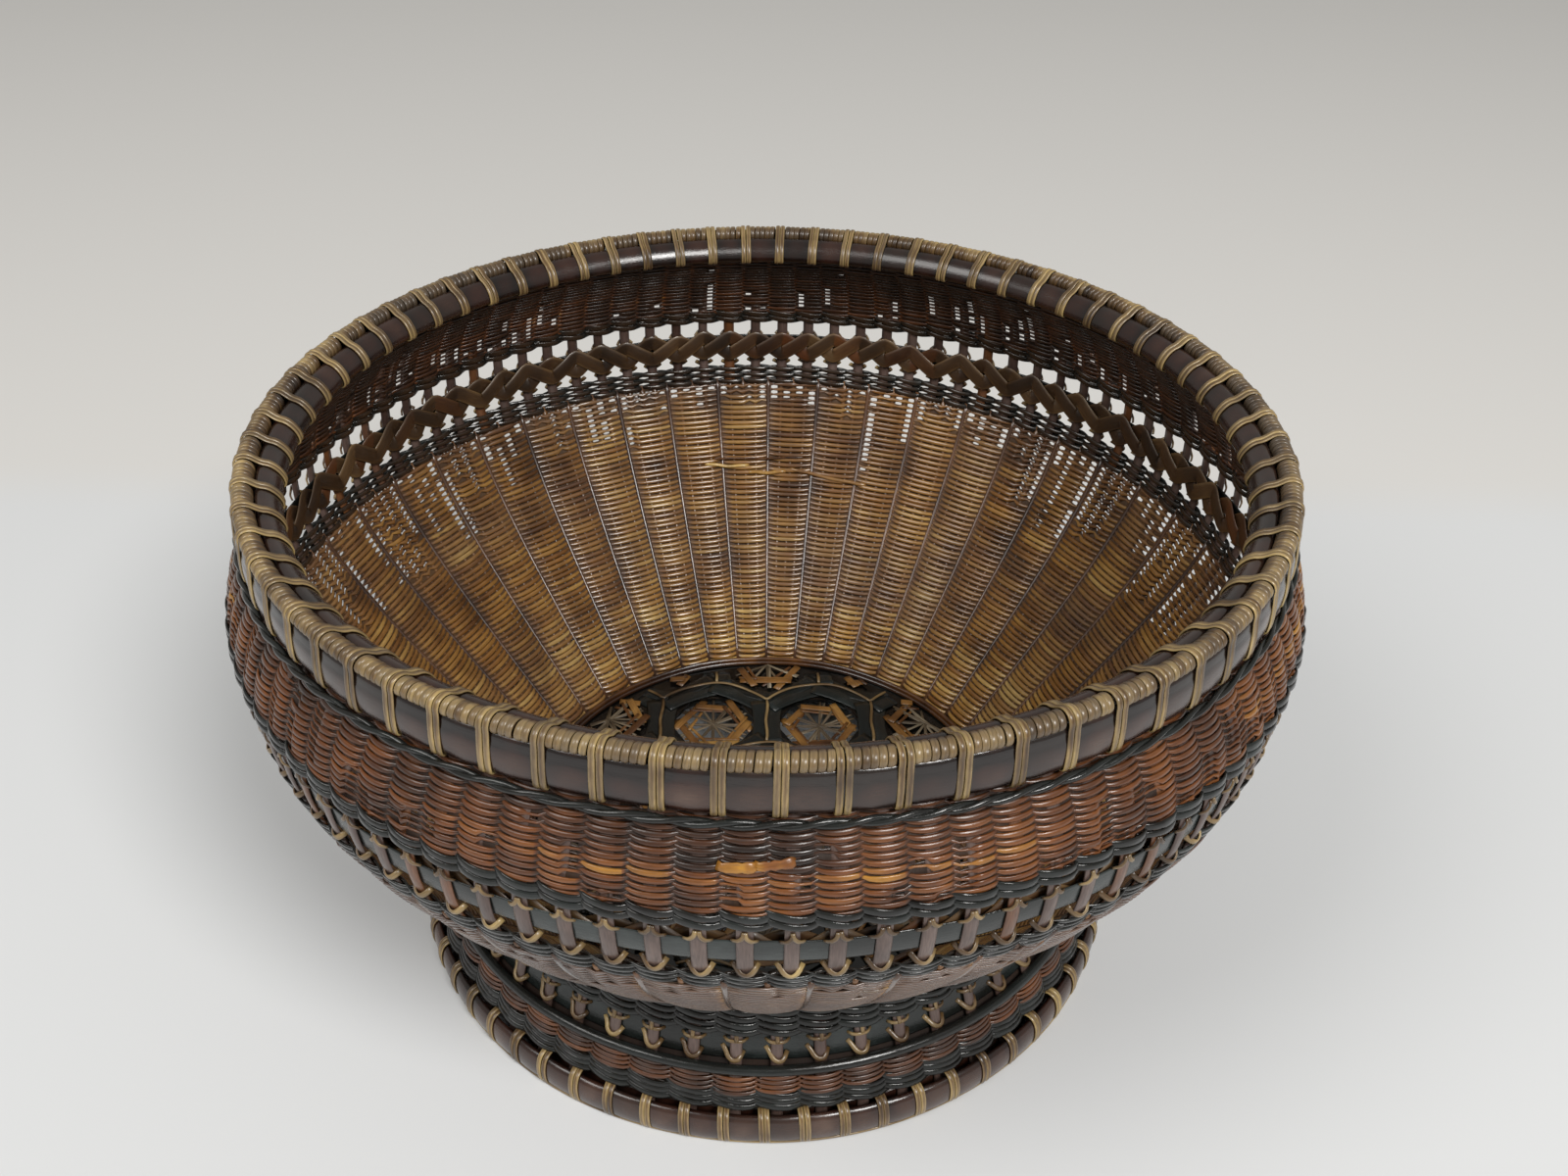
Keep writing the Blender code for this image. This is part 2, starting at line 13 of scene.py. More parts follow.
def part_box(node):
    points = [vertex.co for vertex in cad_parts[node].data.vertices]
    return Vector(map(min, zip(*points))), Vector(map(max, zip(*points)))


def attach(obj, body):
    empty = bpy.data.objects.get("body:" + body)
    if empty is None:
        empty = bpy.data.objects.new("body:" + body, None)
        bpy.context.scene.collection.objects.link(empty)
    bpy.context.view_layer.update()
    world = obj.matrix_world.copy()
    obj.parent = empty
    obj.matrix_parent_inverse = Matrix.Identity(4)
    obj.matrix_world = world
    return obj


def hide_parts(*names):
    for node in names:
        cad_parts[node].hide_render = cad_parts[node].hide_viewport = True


bl_info = {
    "name": "Woven Basket Bowl",
    "version": (1, 0, 0),
    "blender": (4, 5, 0),
    "location": "View3D > Sidebar > Basket Bowl",
    "description": "Dresses a footed basket bowl with woven, twined and lashed cane",
    "category": "Add Mesh",
}

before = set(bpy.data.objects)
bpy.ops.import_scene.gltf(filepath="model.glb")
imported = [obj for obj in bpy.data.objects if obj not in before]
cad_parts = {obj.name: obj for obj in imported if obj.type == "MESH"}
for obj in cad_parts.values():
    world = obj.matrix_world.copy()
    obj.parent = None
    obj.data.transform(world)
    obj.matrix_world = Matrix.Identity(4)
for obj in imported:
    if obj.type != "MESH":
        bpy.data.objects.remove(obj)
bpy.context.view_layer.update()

MM = 0.001
TURN = 2 * math.pi
UPWARD = (0, 0, 1)

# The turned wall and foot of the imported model
BELLY_RADIUS = 206.3 * MM
BELLY_HEIGHT = 172.0 * MM
BELLY_ROUND = 60.0 * MM
BELLY_SWELL = 15.6 * MM
CONE_FLARE = 0.9998
NECK_HEIGHT = 212.5 * MM
NECK_CURVE = 2.6
FOOT_NECK_RADIUS = 136.6 * MM
FOOT_NECK_HEIGHT = 56.4 * MM
FOOT_FLARE = 0.345
MID_DEPTH = 2.42 * MM
FLOOR_TOP = 32.0 * MM

# Counts, and where the first of each stands
STAKES = 94
FIRST_STAKE = math.radians(-91.6)
BANDS = 47
FIRST_BAND = FIRST_STAKE + math.radians(1.915)
WARPS = 188
RIM_LASHINGS = 71
FIRST_RIM_LASHING = math.radians(-88.7)
WRAPS_BETWEEN = 5
FOOT_STAKES = 55
FIRST_FOOT_STAKE = math.radians(-94.3)
FOOT_LASHINGS = 62
FIRST_FOOT_LASHING = math.radians(-89.7)

# The floor's honeycomb
CELL_PITCH = 51.4 * MM
CELL_ROW = CELL_PITCH * math.sqrt(3) / 2
CELL_ORIGIN = (0.0, 13.0 * MM)
CELL_REACH = 122.0 * MM

# Samples of a strand from one stake or lashing to the next
WEAVE_SAMPLES = 8
TWINE_SAMPLES = 8
HOOP_SAMPLES = 10

STRAND_HALF = 0.4 * MM
SPLINT_THICKNESS = 0.4 * MM

# How the two weavers beside a pinhole change: their shift in steps between rows, and shares of width and bulge
PINCH_SHIFT, PINCH_WIDTH, PINCH_BULGE = 0.42, 0.45, 0.4


def round_section(sides):
    """A round strand's section."""
    return np.array([(math.cos(k * TURN / sides), math.sin(k * TURN / sides)) for k in range(sides)])


# Sections of a strand, in half widths and half thicknesses: round cane, fine split cane, split cane with its
# crowned skin, and flat strip
ROUND_SIX = round_section(6)
ROUND_EIGHT = round_section(8)
SPLIT_SIX = np.array([(1, 0), (0.66, 0.85), (-0.66, 0.85), (-1, 0), (-0.66, -0.85), (0.66, -0.85)])
CROWNED = np.array([
    (1, -0.6), (0.93, 0.1), (0.6, 0.75), (0, 1), (-0.6, 0.75), (-0.93, 0.1), (-1, -0.6), (0, -1)])
CROWNED_INSIDE = (CROWNED * (1, -1))[::-1]
STRIP = np.array([(1, -0.4), (1, 0.4), (0.85, 1), (-0.85, 1), (-1, 0.4), (-1, -0.4), (-0.85, -1), (0.85, -1)])
# How much lighter the edges of a lashing strand are than its middle: painted highlights along its edges and
# painted shade down its middle
EDGE_PAINTED_LIGHT = np.array([0.12, 0.22, 0.0, -0.3, 0.0, 0.22, 0.12, 0.0])
# A band's inner face is painted dark, as painted shade on the side that faces into the bowl
INNER_PAINTED_SHADE = np.array([-0.2, 0.0, 0.0, 0.0, 0.0, -0.2, -0.6, -0.6])


def linear(hex_colour):
    """An sRGB hex colour as the linear values that Blender's sockets take."""
    values = [int(hex_colour[i:i + 2], 16) / 255 for i in (1, 3, 5)]
    return tuple(v / 12.92 if v <= 0.04045 else ((v + 0.055) / 1.055) ** 2.4 for v in values)


def unit(vectors):
    """The vectors at length one."""
    return vectors / np.linalg.norm(vectors, axis=-1, keepdims=True)


def turn(angle, radius, height):
    """Points at an angle round the bowl's axis."""
    return np.stack(np.broadcast_arrays(radius * np.cos(angle), radius * np.sin(angle), height), -1)


def steps_round(count, first=0.0):
    """The angles of equal steps once round the bowl."""
    return first + np.arange(count) * TURN / count


def smooth(corners):
    """Rounds a line of corners once by cutting each one, with the line's ends kept."""
    line = np.array(corners, float)
    cut = np.stack([line[:-1] * 0.75 + line[1:] * 0.25, line[:-1] * 0.25 + line[1:] * 0.75], 1)
    return np.concatenate([line[:1], cut.reshape(-1, line.shape[1])[1:-1], line[-1:]])


def wall_radius(height):
    """The outer radius of the cone, the belly and the neck at a height."""
    drop = BELLY_HEIGHT - np.asarray(height, float)
    cone = BELLY_RADIUS - CONE_FLARE * (np.hypot(drop, BELLY_ROUND) - BELLY_ROUND)
    rise = np.clip(-drop / (NECK_HEIGHT - BELLY_HEIGHT), 0, 1)
    return np.where(drop > 0, cone, BELLY_RADIUS - BELLY_SWELL * rise ** NECK_CURVE)


def foot_radius(height):
    """The outer radius of the flared foot at a height."""
    return FOOT_NECK_RADIUS + (FOOT_NECK_HEIGHT - np.asarray(height, float)) * FOOT_FLARE


class TurnedFace:
    """A turned face that strands are laid on, given by its outer radius at a height."""

    def __init__(self, radius):
        self.radius = radius

    def slope(self, height):
        step = 0.1 * MM
        return (self.radius(height + step) - self.radius(height - step)) / (2 * step)

    def point(self, angle, height, depth):
        """Points at a depth inside the face."""
        lean = self.slope(height)
        lean = np.where(self.radius is wall_radius, np.maximum(lean, 0), lean)
        return turn(angle, self.radius(height) - depth * np.hypot(1, lean), height)

    def outward(self, angle, height):
        """The face's outward directions."""
        return unit(np.stack(np.broadcast_arrays(np.cos(angle), np.sin(angle), -self.slope(height)), -1))

    def heights(self, low, high, spacing):
        """Heights at an equal spacing along the face's slope."""
        fine = np.linspace(low, high, 400)
        length = np.concatenate([[0], np.cumsum(np.hypot(np.diff(fine), np.diff(self.radius(fine))))])
        count = max(2, round(length[-1] / spacing))
        return np.interp((np.arange(count) + 0.5) / count * length[-1], length, fine)


WALL = TurnedFace(wall_radius)
FOOT = TurnedFace(foot_radius)


class Strands:
    """Collects strands of cane and makes them one mesh, with each one's tint, bloom and fibre coordinates."""

    def __init__(self):
        self.points, self.tints, self.blooms, self.grains, self.quads, self.caps = [], [], [], [], [], []
        self.point_count = 0
        self.strand_count = 0

    def add(self, path, out, wide, thick, section=CROWNED, tint=0.5, closed=False, shade=0.0, bloom=0.0):
        """Adds strands along paths, [strand, sample] points, with half sizes, and a tint and bloom for each."""
        path = np.asarray(path, float)
        path = path if path.ndim == 3 else path[None]
        strands, samples, sides = path.shape[0], path.shape[1], len(section)
        if closed:
            along = unit(np.roll(path, -1, 1) - np.roll(path, 1, 1))
        else:
            along = unit(np.gradient(path, axis=1))
        across = unit(np.cross(np.broadcast_to(out, path.shape), along))
        face = np.cross(along, across)
        wide = np.broadcast_to(wide, (strands, samples))[:, :, None]
        thick = np.broadcast_to(thick, (strands, samples))[:, :, None]
        points = (path[:, :, None] + (wide * section[:, 0])[..., None] * across[:, :, None]
                  + (thick * section[:, 1])[..., None] * face[:, :, None])
        steps = np.linalg.norm(np.diff(path, axis=1, prepend=path[:, :1]), axis=2)
        length = np.cumsum(steps, axis=1)[:, :, None] / MM
        sizes = section * (float(np.mean(wide)), float(np.mean(thick)))
        around = np.cumsum(np.linalg.norm(np.diff(sizes, axis=0, prepend=sizes[:1]), axis=1)) / MM
        number = (self.strand_count + np.arange(strands))[:, None, None] * 7.3
        grain = np.stack(np.broadcast_arrays(length, around, number), -1)
        tints = np.broadcast_to(tint, (strands, samples))[:, :, None] + np.broadcast_to(shade, sides)
        blooms = np.broadcast_to(bloom, (strands, samples))[:, :, None]

        index = self.point_count + np.arange(strands * samples * sides).reshape(strands, samples, sides)
        here = index if closed else index[:, :-1]
        ahead = np.roll(index, -1, 1) if closed else index[:, 1:]
        quads = np.stack([here, np.roll(here, -1, 2), np.roll(ahead, -1, 2), ahead], -1)
        self.quads += quads.reshape(-1, 4).tolist()
        if not closed:
            self.caps += index[:, 0, ::-1].tolist() + index[:, -1].tolist()
        self.points.append(points.reshape(-1, 3))
        self.tints.append(np.broadcast_to(tints, points.shape[:3]).reshape(-1))
        self.blooms.append(np.broadcast_to(blooms, points.shape[:3]).reshape(-1))
        self.grains.append(grain.reshape(-1, 3))
        self.point_count += strands * samples * sides
        self.strand_count += strands

    def lay(self, face, angle, height, depth, wide, thick, section, tint, **how):
        """Adds strands laid on a turned face at a depth inside it."""
        self.add(face.point(angle, height, depth), face.outward(angle, height), wide, thick, section, tint,
                 **how)

    def make(self, name, material, slot, *replaced):
        """Makes the piece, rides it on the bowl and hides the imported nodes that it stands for."""
        made = add_piece(name, np.concatenate(self.points), self.quads + self.caps, material, slot, *replaced)
        store(made, "tint", "FLOAT", np.concatenate(self.tints))
        store(made, "bloom", "FLOAT", np.concatenate(self.blooms))
        store(made, "grain", "FLOAT_VECTOR", np.concatenate(self.grains))


def store(piece, name, kind, values):
    """Stores a value for each of a piece's points, for its material to read."""
    stored = piece.data.attributes.new(name, kind, "POINT")
    stored.data.foreach_set("vector" if kind == "FLOAT_VECTOR" else "value", values.astype(np.float32).ravel())


def add_piece(name, points, faces, material, slot, *replaced):
    """Makes a smooth mesh piece that rides on the bowl."""
    mesh = bpy.data.meshes.new(name)
    mesh.from_pydata(points, [], faces)
    mesh.polygons.foreach_set("use_smooth", np.ones(len(mesh.polygons), bool))
    mesh.materials.append(material)
    made = bpy.data.objects.new(name, mesh)
    bpy.context.scene.collection.objects.link(made)
    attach(made, "root")
    if replaced:
        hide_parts(*replaced)
    return made


def add_node(tree, kind, inputs=None, **settings):
    """Adds a shader node, sets its properties, and links or sets its inputs by their name or number."""
    made = tree.nodes.new(kind)
    for name, value in settings.items():
        setattr(made, name, value)
    for name, value in (inputs or {}).items():
        if isinstance(value, bpy.types.NodeSocket):
            tree.links.new(value, made.inputs[name])
        else:
            made.inputs[name].default_value = value
    return made


def empty_material(name):
    """A new material and its empty node tree."""
    made = bpy.data.materials.new(name)
    made.use_nodes = True
    made.node_tree.nodes.clear()
    return made, made.node_tree


def cane(name, colours, bloomed, roughness, coat=0.0, fibre=0.35, dirt=0.35, mottle=0.0):
    """A material whose tint runs through the colours, with the fibres, worn skin and dirt of old split cane.

    Where a strand's bloom is high, its colour goes over to the bloomed one, that of dull old wax and dust, and
    on the cone's outer face a painted mauve-grey reflection. The fibres lie along each strand, about 0.5 mm
    apart and 5 mm long. Real ones are half that, too fine to show.
    Dirt and wear change over about 20 mm.
    """
    if name in bpy.data.materials:
        return bpy.data.materials[name]
    made, tree = empty_material(name)
    tint = add_node(tree, "ShaderNodeAttribute", attribute_name="tint")
    bloom = add_node(tree, "ShaderNodeAttribute", attribute_name="bloom")
    grain = add_node(tree, "ShaderNodeAttribute", attribute_name="grain")
    place = add_node(tree, "ShaderNodeTexCoord")
    stretched = add_node(tree, "ShaderNodeVectorMath", {
        0: grain.outputs["Vector"], 1: (0.2, 2.0, 1.0)}, operation="MULTIPLY")
    fibres = add_node(tree, "ShaderNodeTexNoise", {
        "Vector": stretched.outputs[0], "Scale": 1.0, "Detail": 3.0, "Roughness": 0.6})
    wear = add_node(tree, "ShaderNodeTexNoise", {
        "Vector": place.outputs["Object"], "Scale": 45.0, "Detail": 4.0})

    patches = add_node(tree, "ShaderNodeMath", {0: wear.outputs["Fac"], 1: -0.5}, operation="ADD")
    uneven = add_node(tree, "ShaderNodeMath", {
        0: patches.outputs[0], 1: 0.8 + mottle, 2: tint.outputs["Fac"]}, operation="MULTIPLY_ADD")
    ramp = add_node(tree, "ShaderNodeValToRGB", {"Fac": uneven.outputs[0]})
    stops = ramp.color_ramp.elements
    while len(stops) < len(colours):
        stops.new(0.5)
    for number, colour in enumerate(colours):
        stops[number].position = number / (len(colours) - 1)
        stops[number].color = (*(linear(colour) if isinstance(colour, str) else colour), 1.0)
    aged = add_node(tree, "ShaderNodeMix", {
        "Factor": bloom.outputs["Fac"], 6: ramp.outputs["Color"], 7: (*linear(bloomed), 1.0)}, data_type="RGBA")
    streaks = add_node(tree, "ShaderNodeMapRange", {
        "Value": fibres.outputs["Fac"], "From Min": 0.3, "From Max": 0.7,
        "To Min": 1.0 - fibre, "To Max": 1.0 + fibre * 0.6})
    streaked = add_node(tree, "ShaderNodeVectorMath", {
        0: aged.outputs[2], 1: streaks.outputs["Result"]}, operation="MULTIPLY")
    grime = add_node(tree, "ShaderNodeMapRange", {
        "Value": wear.outputs["Fac"], "From Min": 0.52, "From Max": 0.3, "To Min": 0.0, "To Max": dirt})
    dirtied = add_node(tree, "ShaderNodeMix", {
        "Factor": grime.outputs["Result"], 6: streaked.outputs[0], 7: (*linear("#1d1511"), 1.0)},
        data_type="RGBA")

    sheen = add_node(tree, "ShaderNodeMapRange", {
        "Value": fibres.outputs["Fac"], "From Min": 0.3, "From Max": 0.7,
        "To Min": roughness + 0.1, "To Max": roughness - 0.06})
    relief = add_node(tree, "ShaderNodeBump", {
        "Height": fibres.outputs["Fac"], "Strength": 0.35, "Distance": 0.2 * MM})
    shader = add_node(tree, "ShaderNodeBsdfPrincipled", {
        "Base Color": dirtied.outputs[2], "Roughness": sheen.outputs["Result"],
        "Normal": relief.outputs["Normal"], "IOR": 1.5, "Coat Weight": coat, "Coat Roughness": 0.18})
    add_node(tree, "ShaderNodeOutputMaterial", {"Surface": shader.outputs["BSDF"]})
    return made


def tan_cane():
    """Natural split rattan with its own skin: warm tan, satin, darker where fingers have worn it."""
    natural = bpy.context.scene.basket_colours.natural_cane
    return cane("natural split cane", ["#2c1c0c", "#5e4628", natural, "#b59c66"], "#5d5040", 0.34, coat=0.3,
                mottle=0.2)


def brown_cane():
    """Bent whole cane under old brown lacquer: dark red-brown and glossy; its pale mauve-grey tints are a
    painted reflection, given to the hoops where they face the light.
    """
    lacquer = bpy.context.scene.basket_colours.brown_lacquer
    return cane("lacquered bent cane", ["#120806", lacquer, "#422c22", "#5f493d"], "#352c26", 0.18, coat=0.3,
                fibre=0.2, dirt=0.4, mottle=0.3)


def black_cane():
    """Split cane dyed and lacquered black: near black with a cool, hard shine."""
    lacquer = bpy.context.scene.basket_colours.black_lacquer
    return cane("black lacquered cane", ["#080807", lacquer, "#1f2322", "#3d4342"], "#3a2a1e", 0.15, fibre=0.3,
                dirt=0.2)


def mauve_cane():
    """Cane skin stained mauve-brown: smooth, satin, paler on its crown."""
    skin = bpy.context.scene.basket_colours.mauve_skin
    return cane("stained cane skin", ["#26160f", "#45312a", skin], "#6e4425", 0.38, coat=0.3)


def red_wicker():
    """Fine wicker stained rust red and oiled: each strand takes the stain differently, a few stay golden."""
    rust = bpy.context.scene.basket_colours.rust_wicker
    return cane("rust stained wicker", ["#20120a", "#47260f", rust, "#7e4d22", "#a8772e"], "#5c4031", 0.28,
                coat=0.2, dirt=0.25)


def gold_wicker():
    """Fine wicker gone golden brown with age and handling: satin, with a line of light on each strand."""
    golden = bpy.context.scene.basket_colours.golden_wicker
    return cane("aged golden wicker", ["#2e180a", "#643e1a", golden, "#a0763a", "#c2a05e"], "#625048", 0.24,
                coat=0.5)


def brown_wicker():
    """Wide split strips stained dark brown, dry and smoky, with a little shine on their crowns."""
    return cane("smoked split strip", ["#20150d", "#46321f", "#6f5637"], "#5e3418", 0.36, coat=0.35)


def shadow_cane():
    """The dark sheet inside the weave, seen only through its gaps: painted shade, dull and nearly black."""
    return cane("painted shade sheet", ["#17100c", "#2e1d12", "#573c20"], "#2a1c14", 0.7, fibre=0.3)


def orange_cane():
    """Split cane stained orange: bright, satin, redder where the stain lay thick."""
    orange = bpy.context.scene.basket_colours.orange_strip
    return cane("orange stained strip", ["#2e1a0e", "#5e3a1a", orange, "#a37c42"], "#54452e", 0.36, coat=0.25,
                mottle=0.3)


def silver_cane():
    """Undyed splints, grey with age: fine, pale and dry."""
    return cane("bleached splints", ["#33291d", "#655744", "#8f846f"], "#5a4b38", 0.45, coat=0.1)


def keep(node, finish):
    """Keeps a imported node's shape and gives it a finished material."""
    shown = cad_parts[node]
    shown.data.materials.clear()
    shown.data.materials.append(finish)


def weave(strands, face, heights, columns, first, mid, swing, cover, thick, rng, look, samples=WEAVE_SAMPLES,
          sag=0.0, loose=None):
    """Lays weavers over and under the columns: closed rings for an even count, and one spiral for an odd one.

    mid and swing give the depth of the middle of the wall and how far a weaver leaves it, for each height.
    cover is the share of the wall that the floats of one side hide, and sag is how far the middle of an outer
    float hangs. look gives the tint and bloom for arrays of the weaver's number, its column, height, and side:
    1 for outside. loose marks where the two weavers of a pair are pinched together, with pinholes above and
    below them.
    """
    spiral = columns % 2 == 1
    rows = len(heights) - spiral
    row, column, step = np.meshgrid(np.arange(rows), np.arange(columns), np.arange(samples), indexing="ij")
    across = -1 + 2 * step / samples
    side = np.where((row + column) % 2 == 0, 1, -1)
    bulge = np.cos(across * math.pi / 2) ** 0.6
    level = row + ((column + step / samples) / columns if spiral else 0)
    jitter = rng.normal(0, 0.1 * MM, (rows, columns, 1)) * bulge
    height = np.interp(level, np.arange(len(heights)), heights) + jitter - sag * np.maximum(side, 0) * bulge
    step_up = np.interp(level, np.arange(len(heights)), np.gradient(heights)) * np.hypot(1, face.slope(height))
    width = np.abs(step_up) * (1 + (2 * cover - 1) * bulge + rng.normal(0, 0.06, (rows, columns, 1)))
    if loose is not None:
        pinched = loose[np.minimum(row // 2, len(loose) - 1), column, step]
        height = height + np.where(pinched, np.where(row % 2 == 0, PINCH_SHIFT, -PINCH_SHIFT) * step_up, 0)
        width = width * np.where(pinched, PINCH_WIDTH, 1)
        bulge = bulge * np.where(pinched, PINCH_BULGE, 1)
    angle = first + (column + across / 2) * TURN / columns
    depth = mid(height) - side * swing(height) * bulge
    tint, bloom = look(row, column, height, side)
    tint = tint + rng.normal(0, 0.06, (rows, columns, 1))
    shape = (1, rows * columns * samples) if spiral else (rows, columns * samples)
    path = face.point(angle, height, depth).reshape(*shape, 3)
    out = face.outward(angle, height).reshape(*shape, 3)
    strands.add(path, out, (width / 2).reshape(shape), thick / 2, SPLIT_SIX, tint.reshape(shape),
                closed=not spiral, bloom=np.broadcast_to(bloom, tint.shape).reshape(shape))


def pinch(holes, places):
    """Marks the pairs of weavers round each pinhole, [pair, column, sample], given the samples it lies at."""
    pinched = np.zeros((holes.shape[0] + 2, holes.shape[1], WEAVE_SAMPLES), bool)
    for number, samples in enumerate(places):
        for sample in samples:
            pinched[:-2, :, sample] |= holes[:, :, number]
            pinched[1:-1, :, sample] |= holes[:, :, number]
    return pinched


def drift(rng, rows, columns, across=6, along=9):
    """A field of slow random change over weavers and columns, about one in size, that closes round the bowl."""
    coarse = rng.normal(0, 1, (rows // along + 3, columns // across))
    coarse = np.concatenate([coarse, coarse[:, :1]], 1)
    u = np.arange(columns) / columns * (coarse.shape[1] - 1)
    wide = np.stack([np.interp(u, np.arange(coarse.shape[1]), line) for line in coarse])
    v = np.arange(rows) / along
    return np.stack([np.interp(v, np.arange(len(wide)), wide[:, k]) for k in range(columns)], 1)


def twine(strands, face, height, columns, first, mid, swing, rise, wide, thick, tint, rng):
    """Lays two strands that twist once round each other in every two columns, each stake held between them."""
    rounds = 2 if columns % 2 else 1
    reach = np.arange(rounds * columns * TWINE_SAMPLES) / TWINE_SAMPLES
    for phase in range(0, 2, rounds):
        swaying = np.cos(math.pi * (reach + phase))
        depth = mid - swing * np.sign(swaying) * np.abs(swaying) ** 0.7
        uneven = np.repeat(rng.normal(0, 0.12, rounds * columns), TWINE_SAMPLES)
        level = height - rise * np.sin(math.pi * (reach + phase)) + 0.15 * MM * np.sin(reach * 0.37 + phase)
        angle = first + reach * TURN / columns
        strands.lay(face, angle, level, depth, wide / 2 * (1 + uneven * 0.6), thick / 2, SPLIT_SIX,
                    np.clip(tint + uneven, 0, 1), closed=True, bloom=np.clip(-swaying, 0, 1) * 0.8)


def pierced_shell(face, angles, heights, depth, open_cells):
    """The points and faces of a thin closed sheet inside the wall, with cells left open."""
    columns, levels = len(angles), len(heights)
    depth = np.broadcast_to(depth, levels)[:, None]
    grid = [face.point(angles[None, :], heights[:, None], depth + side * SPLINT_THICKNESS / 2)
            for side in (-1, 1)]
    points = np.concatenate([part.reshape(-1, 3) for part in grid])
    outer = np.arange(levels * columns).reshape(levels, columns)
    inner = outer + levels * columns
    kept = ~open_cells
    row, column = np.nonzero(kept)
    right = (column + 1) % columns
    above = row + 1
    faces = [np.stack([outer[row, column], outer[row, right], outer[above, right], outer[above, column]], -1),
             np.stack([inner[row, column], inner[above, column], inner[above, right], inner[row, right]], -1)]
    padded = np.zeros((levels + 1, columns), bool)
    padded[1:-1] = kept
    for row, column in zip(*np.nonzero(padded[1:] != padded[:-1])):
        a, b = column, (column + 1) % columns
        quad = [outer[row, a], inner[row, a], inner[row, b], outer[row, b]]
        faces.append([quad if padded[row + 1, column] else quad[::-1]])
    for row, column in zip(*np.nonzero(kept != np.roll(kept, 1, 1))):
        quad = [outer[row, column], outer[row + 1, column], inner[row + 1, column], inner[row, column]]
        faces.append([quad if kept[row, column] else quad[::-1]])
    return points, np.concatenate(faces).tolist()


def add_shell(name, face, angles, heights, depth, open_cells, shade, slot, *replaced):
    """Adds a dark pierced sheet inside the weave, painted shade seen through its gaps, with fibres that run
    down the wall.
    """
    points, faces = pierced_shell(face, angles, heights, depth, open_cells)
    made = add_piece(name, points, faces, shadow_cane(), slot, *replaced)
    turned = np.arctan2(points[:, 1], points[:, 0])
    store(made, "tint", "FLOAT", np.full(len(points), shade))
    store(made, "grain", "FLOAT_VECTOR",
          np.stack([points[:, 2] / MM, turned * BELLY_RADIUS / MM, np.zeros(len(points))], -1))


def lay_over(profile, angles, lean):
    """Paths over a turned profile at each angle, with their outward directions and a lean along the rim."""
    angle = angles[:, None] + np.linspace(-0.5, 0.5, len(profile))[None, :] * lean
    path = turn(angle, profile[:, 0][None, :], profile[:, 1][None, :])
    along = unit(np.gradient(profile, axis=0))
    return path, turn(angle, along[:, 1][None, :], -along[:, 0][None, :])


def bend_hoop(name, node, corners, rng, bulge, lashings, first):
    """Bends a hoop of the rim or foot, given its section's corners: radius and height in millimetres, and tint.

    The hoop swells between its lashings, where it is worn to different greys, and is painted darkest beside
    them, as painted shade where the lashings cross it. The tints round its section paint its highlights,
    reflections and shade.
    """
    line = np.array(corners) * (MM, MM, 1.0)
    ahead = np.roll(line, -1, 0)
    corner = np.stack([line * 0.75 + ahead * 0.25, line * 0.25 + ahead * 0.75], 1).reshape(-1, 3)
    middle = corner[:, :2].mean(0)
    up, outward = (corner[:, :2] - middle)[:, ::-1].T
    # A section is wound one way, so that its faces look outward
    winding = np.sum(up * np.roll(outward, -1) - outward * np.roll(up, -1))
    order = slice(None, None, 1 if winding > 0 else -1)

    reach = np.arange(lashings * HOOP_SAMPLES) / HOOP_SAMPLES
    angle = first + reach * TURN / lashings
    swell = np.abs(np.sin(reach * math.pi)) ** 0.7
    patch = np.repeat(rng.normal(0, 1, (lashings, 2)), HOOP_SAMPLES, axis=0)
    strands = Strands()
    # Beside each lashing the hoop is painted darker, as painted shade, and its section's tints paint its
    # highlights and reflections
    strands.add(turn(angle, middle[0] + bulge * swell, middle[1]), turn(angle, 1.0, 0.0), 1.0, 1.0,
                np.stack([up, outward], -1)[order], 0.08 * patch[:, 0] - 0.5 * (1 - swell) ** 0.9, closed=True,
                shade=corner[order, 2], bloom=np.clip(0.05 + 0.15 * patch[:, 1], 0, 0.5))
    strands.make(name, brown_cane(), "brown_cane", node)


def tie_stakes(strands, face, count, first, radius, line, wide, painted_side_light, rng):
    """Lays a short tie over every stake: a line of offset beside it, height and depth, in millimetres.

    Its tints at left and right are given as a pair, the lighter arm a painted highlight.
    """
    offset, level, depth = smooth(np.array(line) * MM).T
    uneven = rng.normal(0, 0.3 * MM, (2, count, 1))
    angles = steps_round(count, first)[:, None] + (offset[None, :] + uneven[0]) / radius
    levels = level[None, :] + uneven[1]
    tint = np.interp(offset, [-3 * MM, 2.5 * MM], painted_side_light) + rng.normal(0, 0.1, (count, 1))
    strands.lay(face, angles, levels, depth[None, :], wide * MM, 0.37 * MM, CROWNED, tint)


def cells():
    """The middles of the floor's honeycomb cells, whole or cut by the wall."""
    found = []
    for row in range(-3, 4):
        for column in range(-3, 4):
            x = CELL_ORIGIN[0] + (column + (row % 2) / 2) * CELL_PITCH
            y = CELL_ORIGIN[1] + row * CELL_ROW
            if math.hypot(x, y) < CELL_REACH:
                found.append((x, y))
    return found


def spun(x, y, angle, cell):
    """Points given from a floor cell's middle, turned round it."""
    return (cell[0] + x * math.cos(angle) - y * math.sin(angle),
            cell[1] + x * math.sin(angle) + y * math.cos(angle))


def inside_runs(x, y, limit):
    """The runs of three or more samples that lie within the floor's edge."""
    inside = np.hypot(x, y) < limit
    edges = np.flatnonzero(np.diff(np.concatenate([[0], inside.astype(int), [0]])))
    return [slice(a, b) for a, b in zip(edges[::2], edges[1::2]) if b - a >= 3]


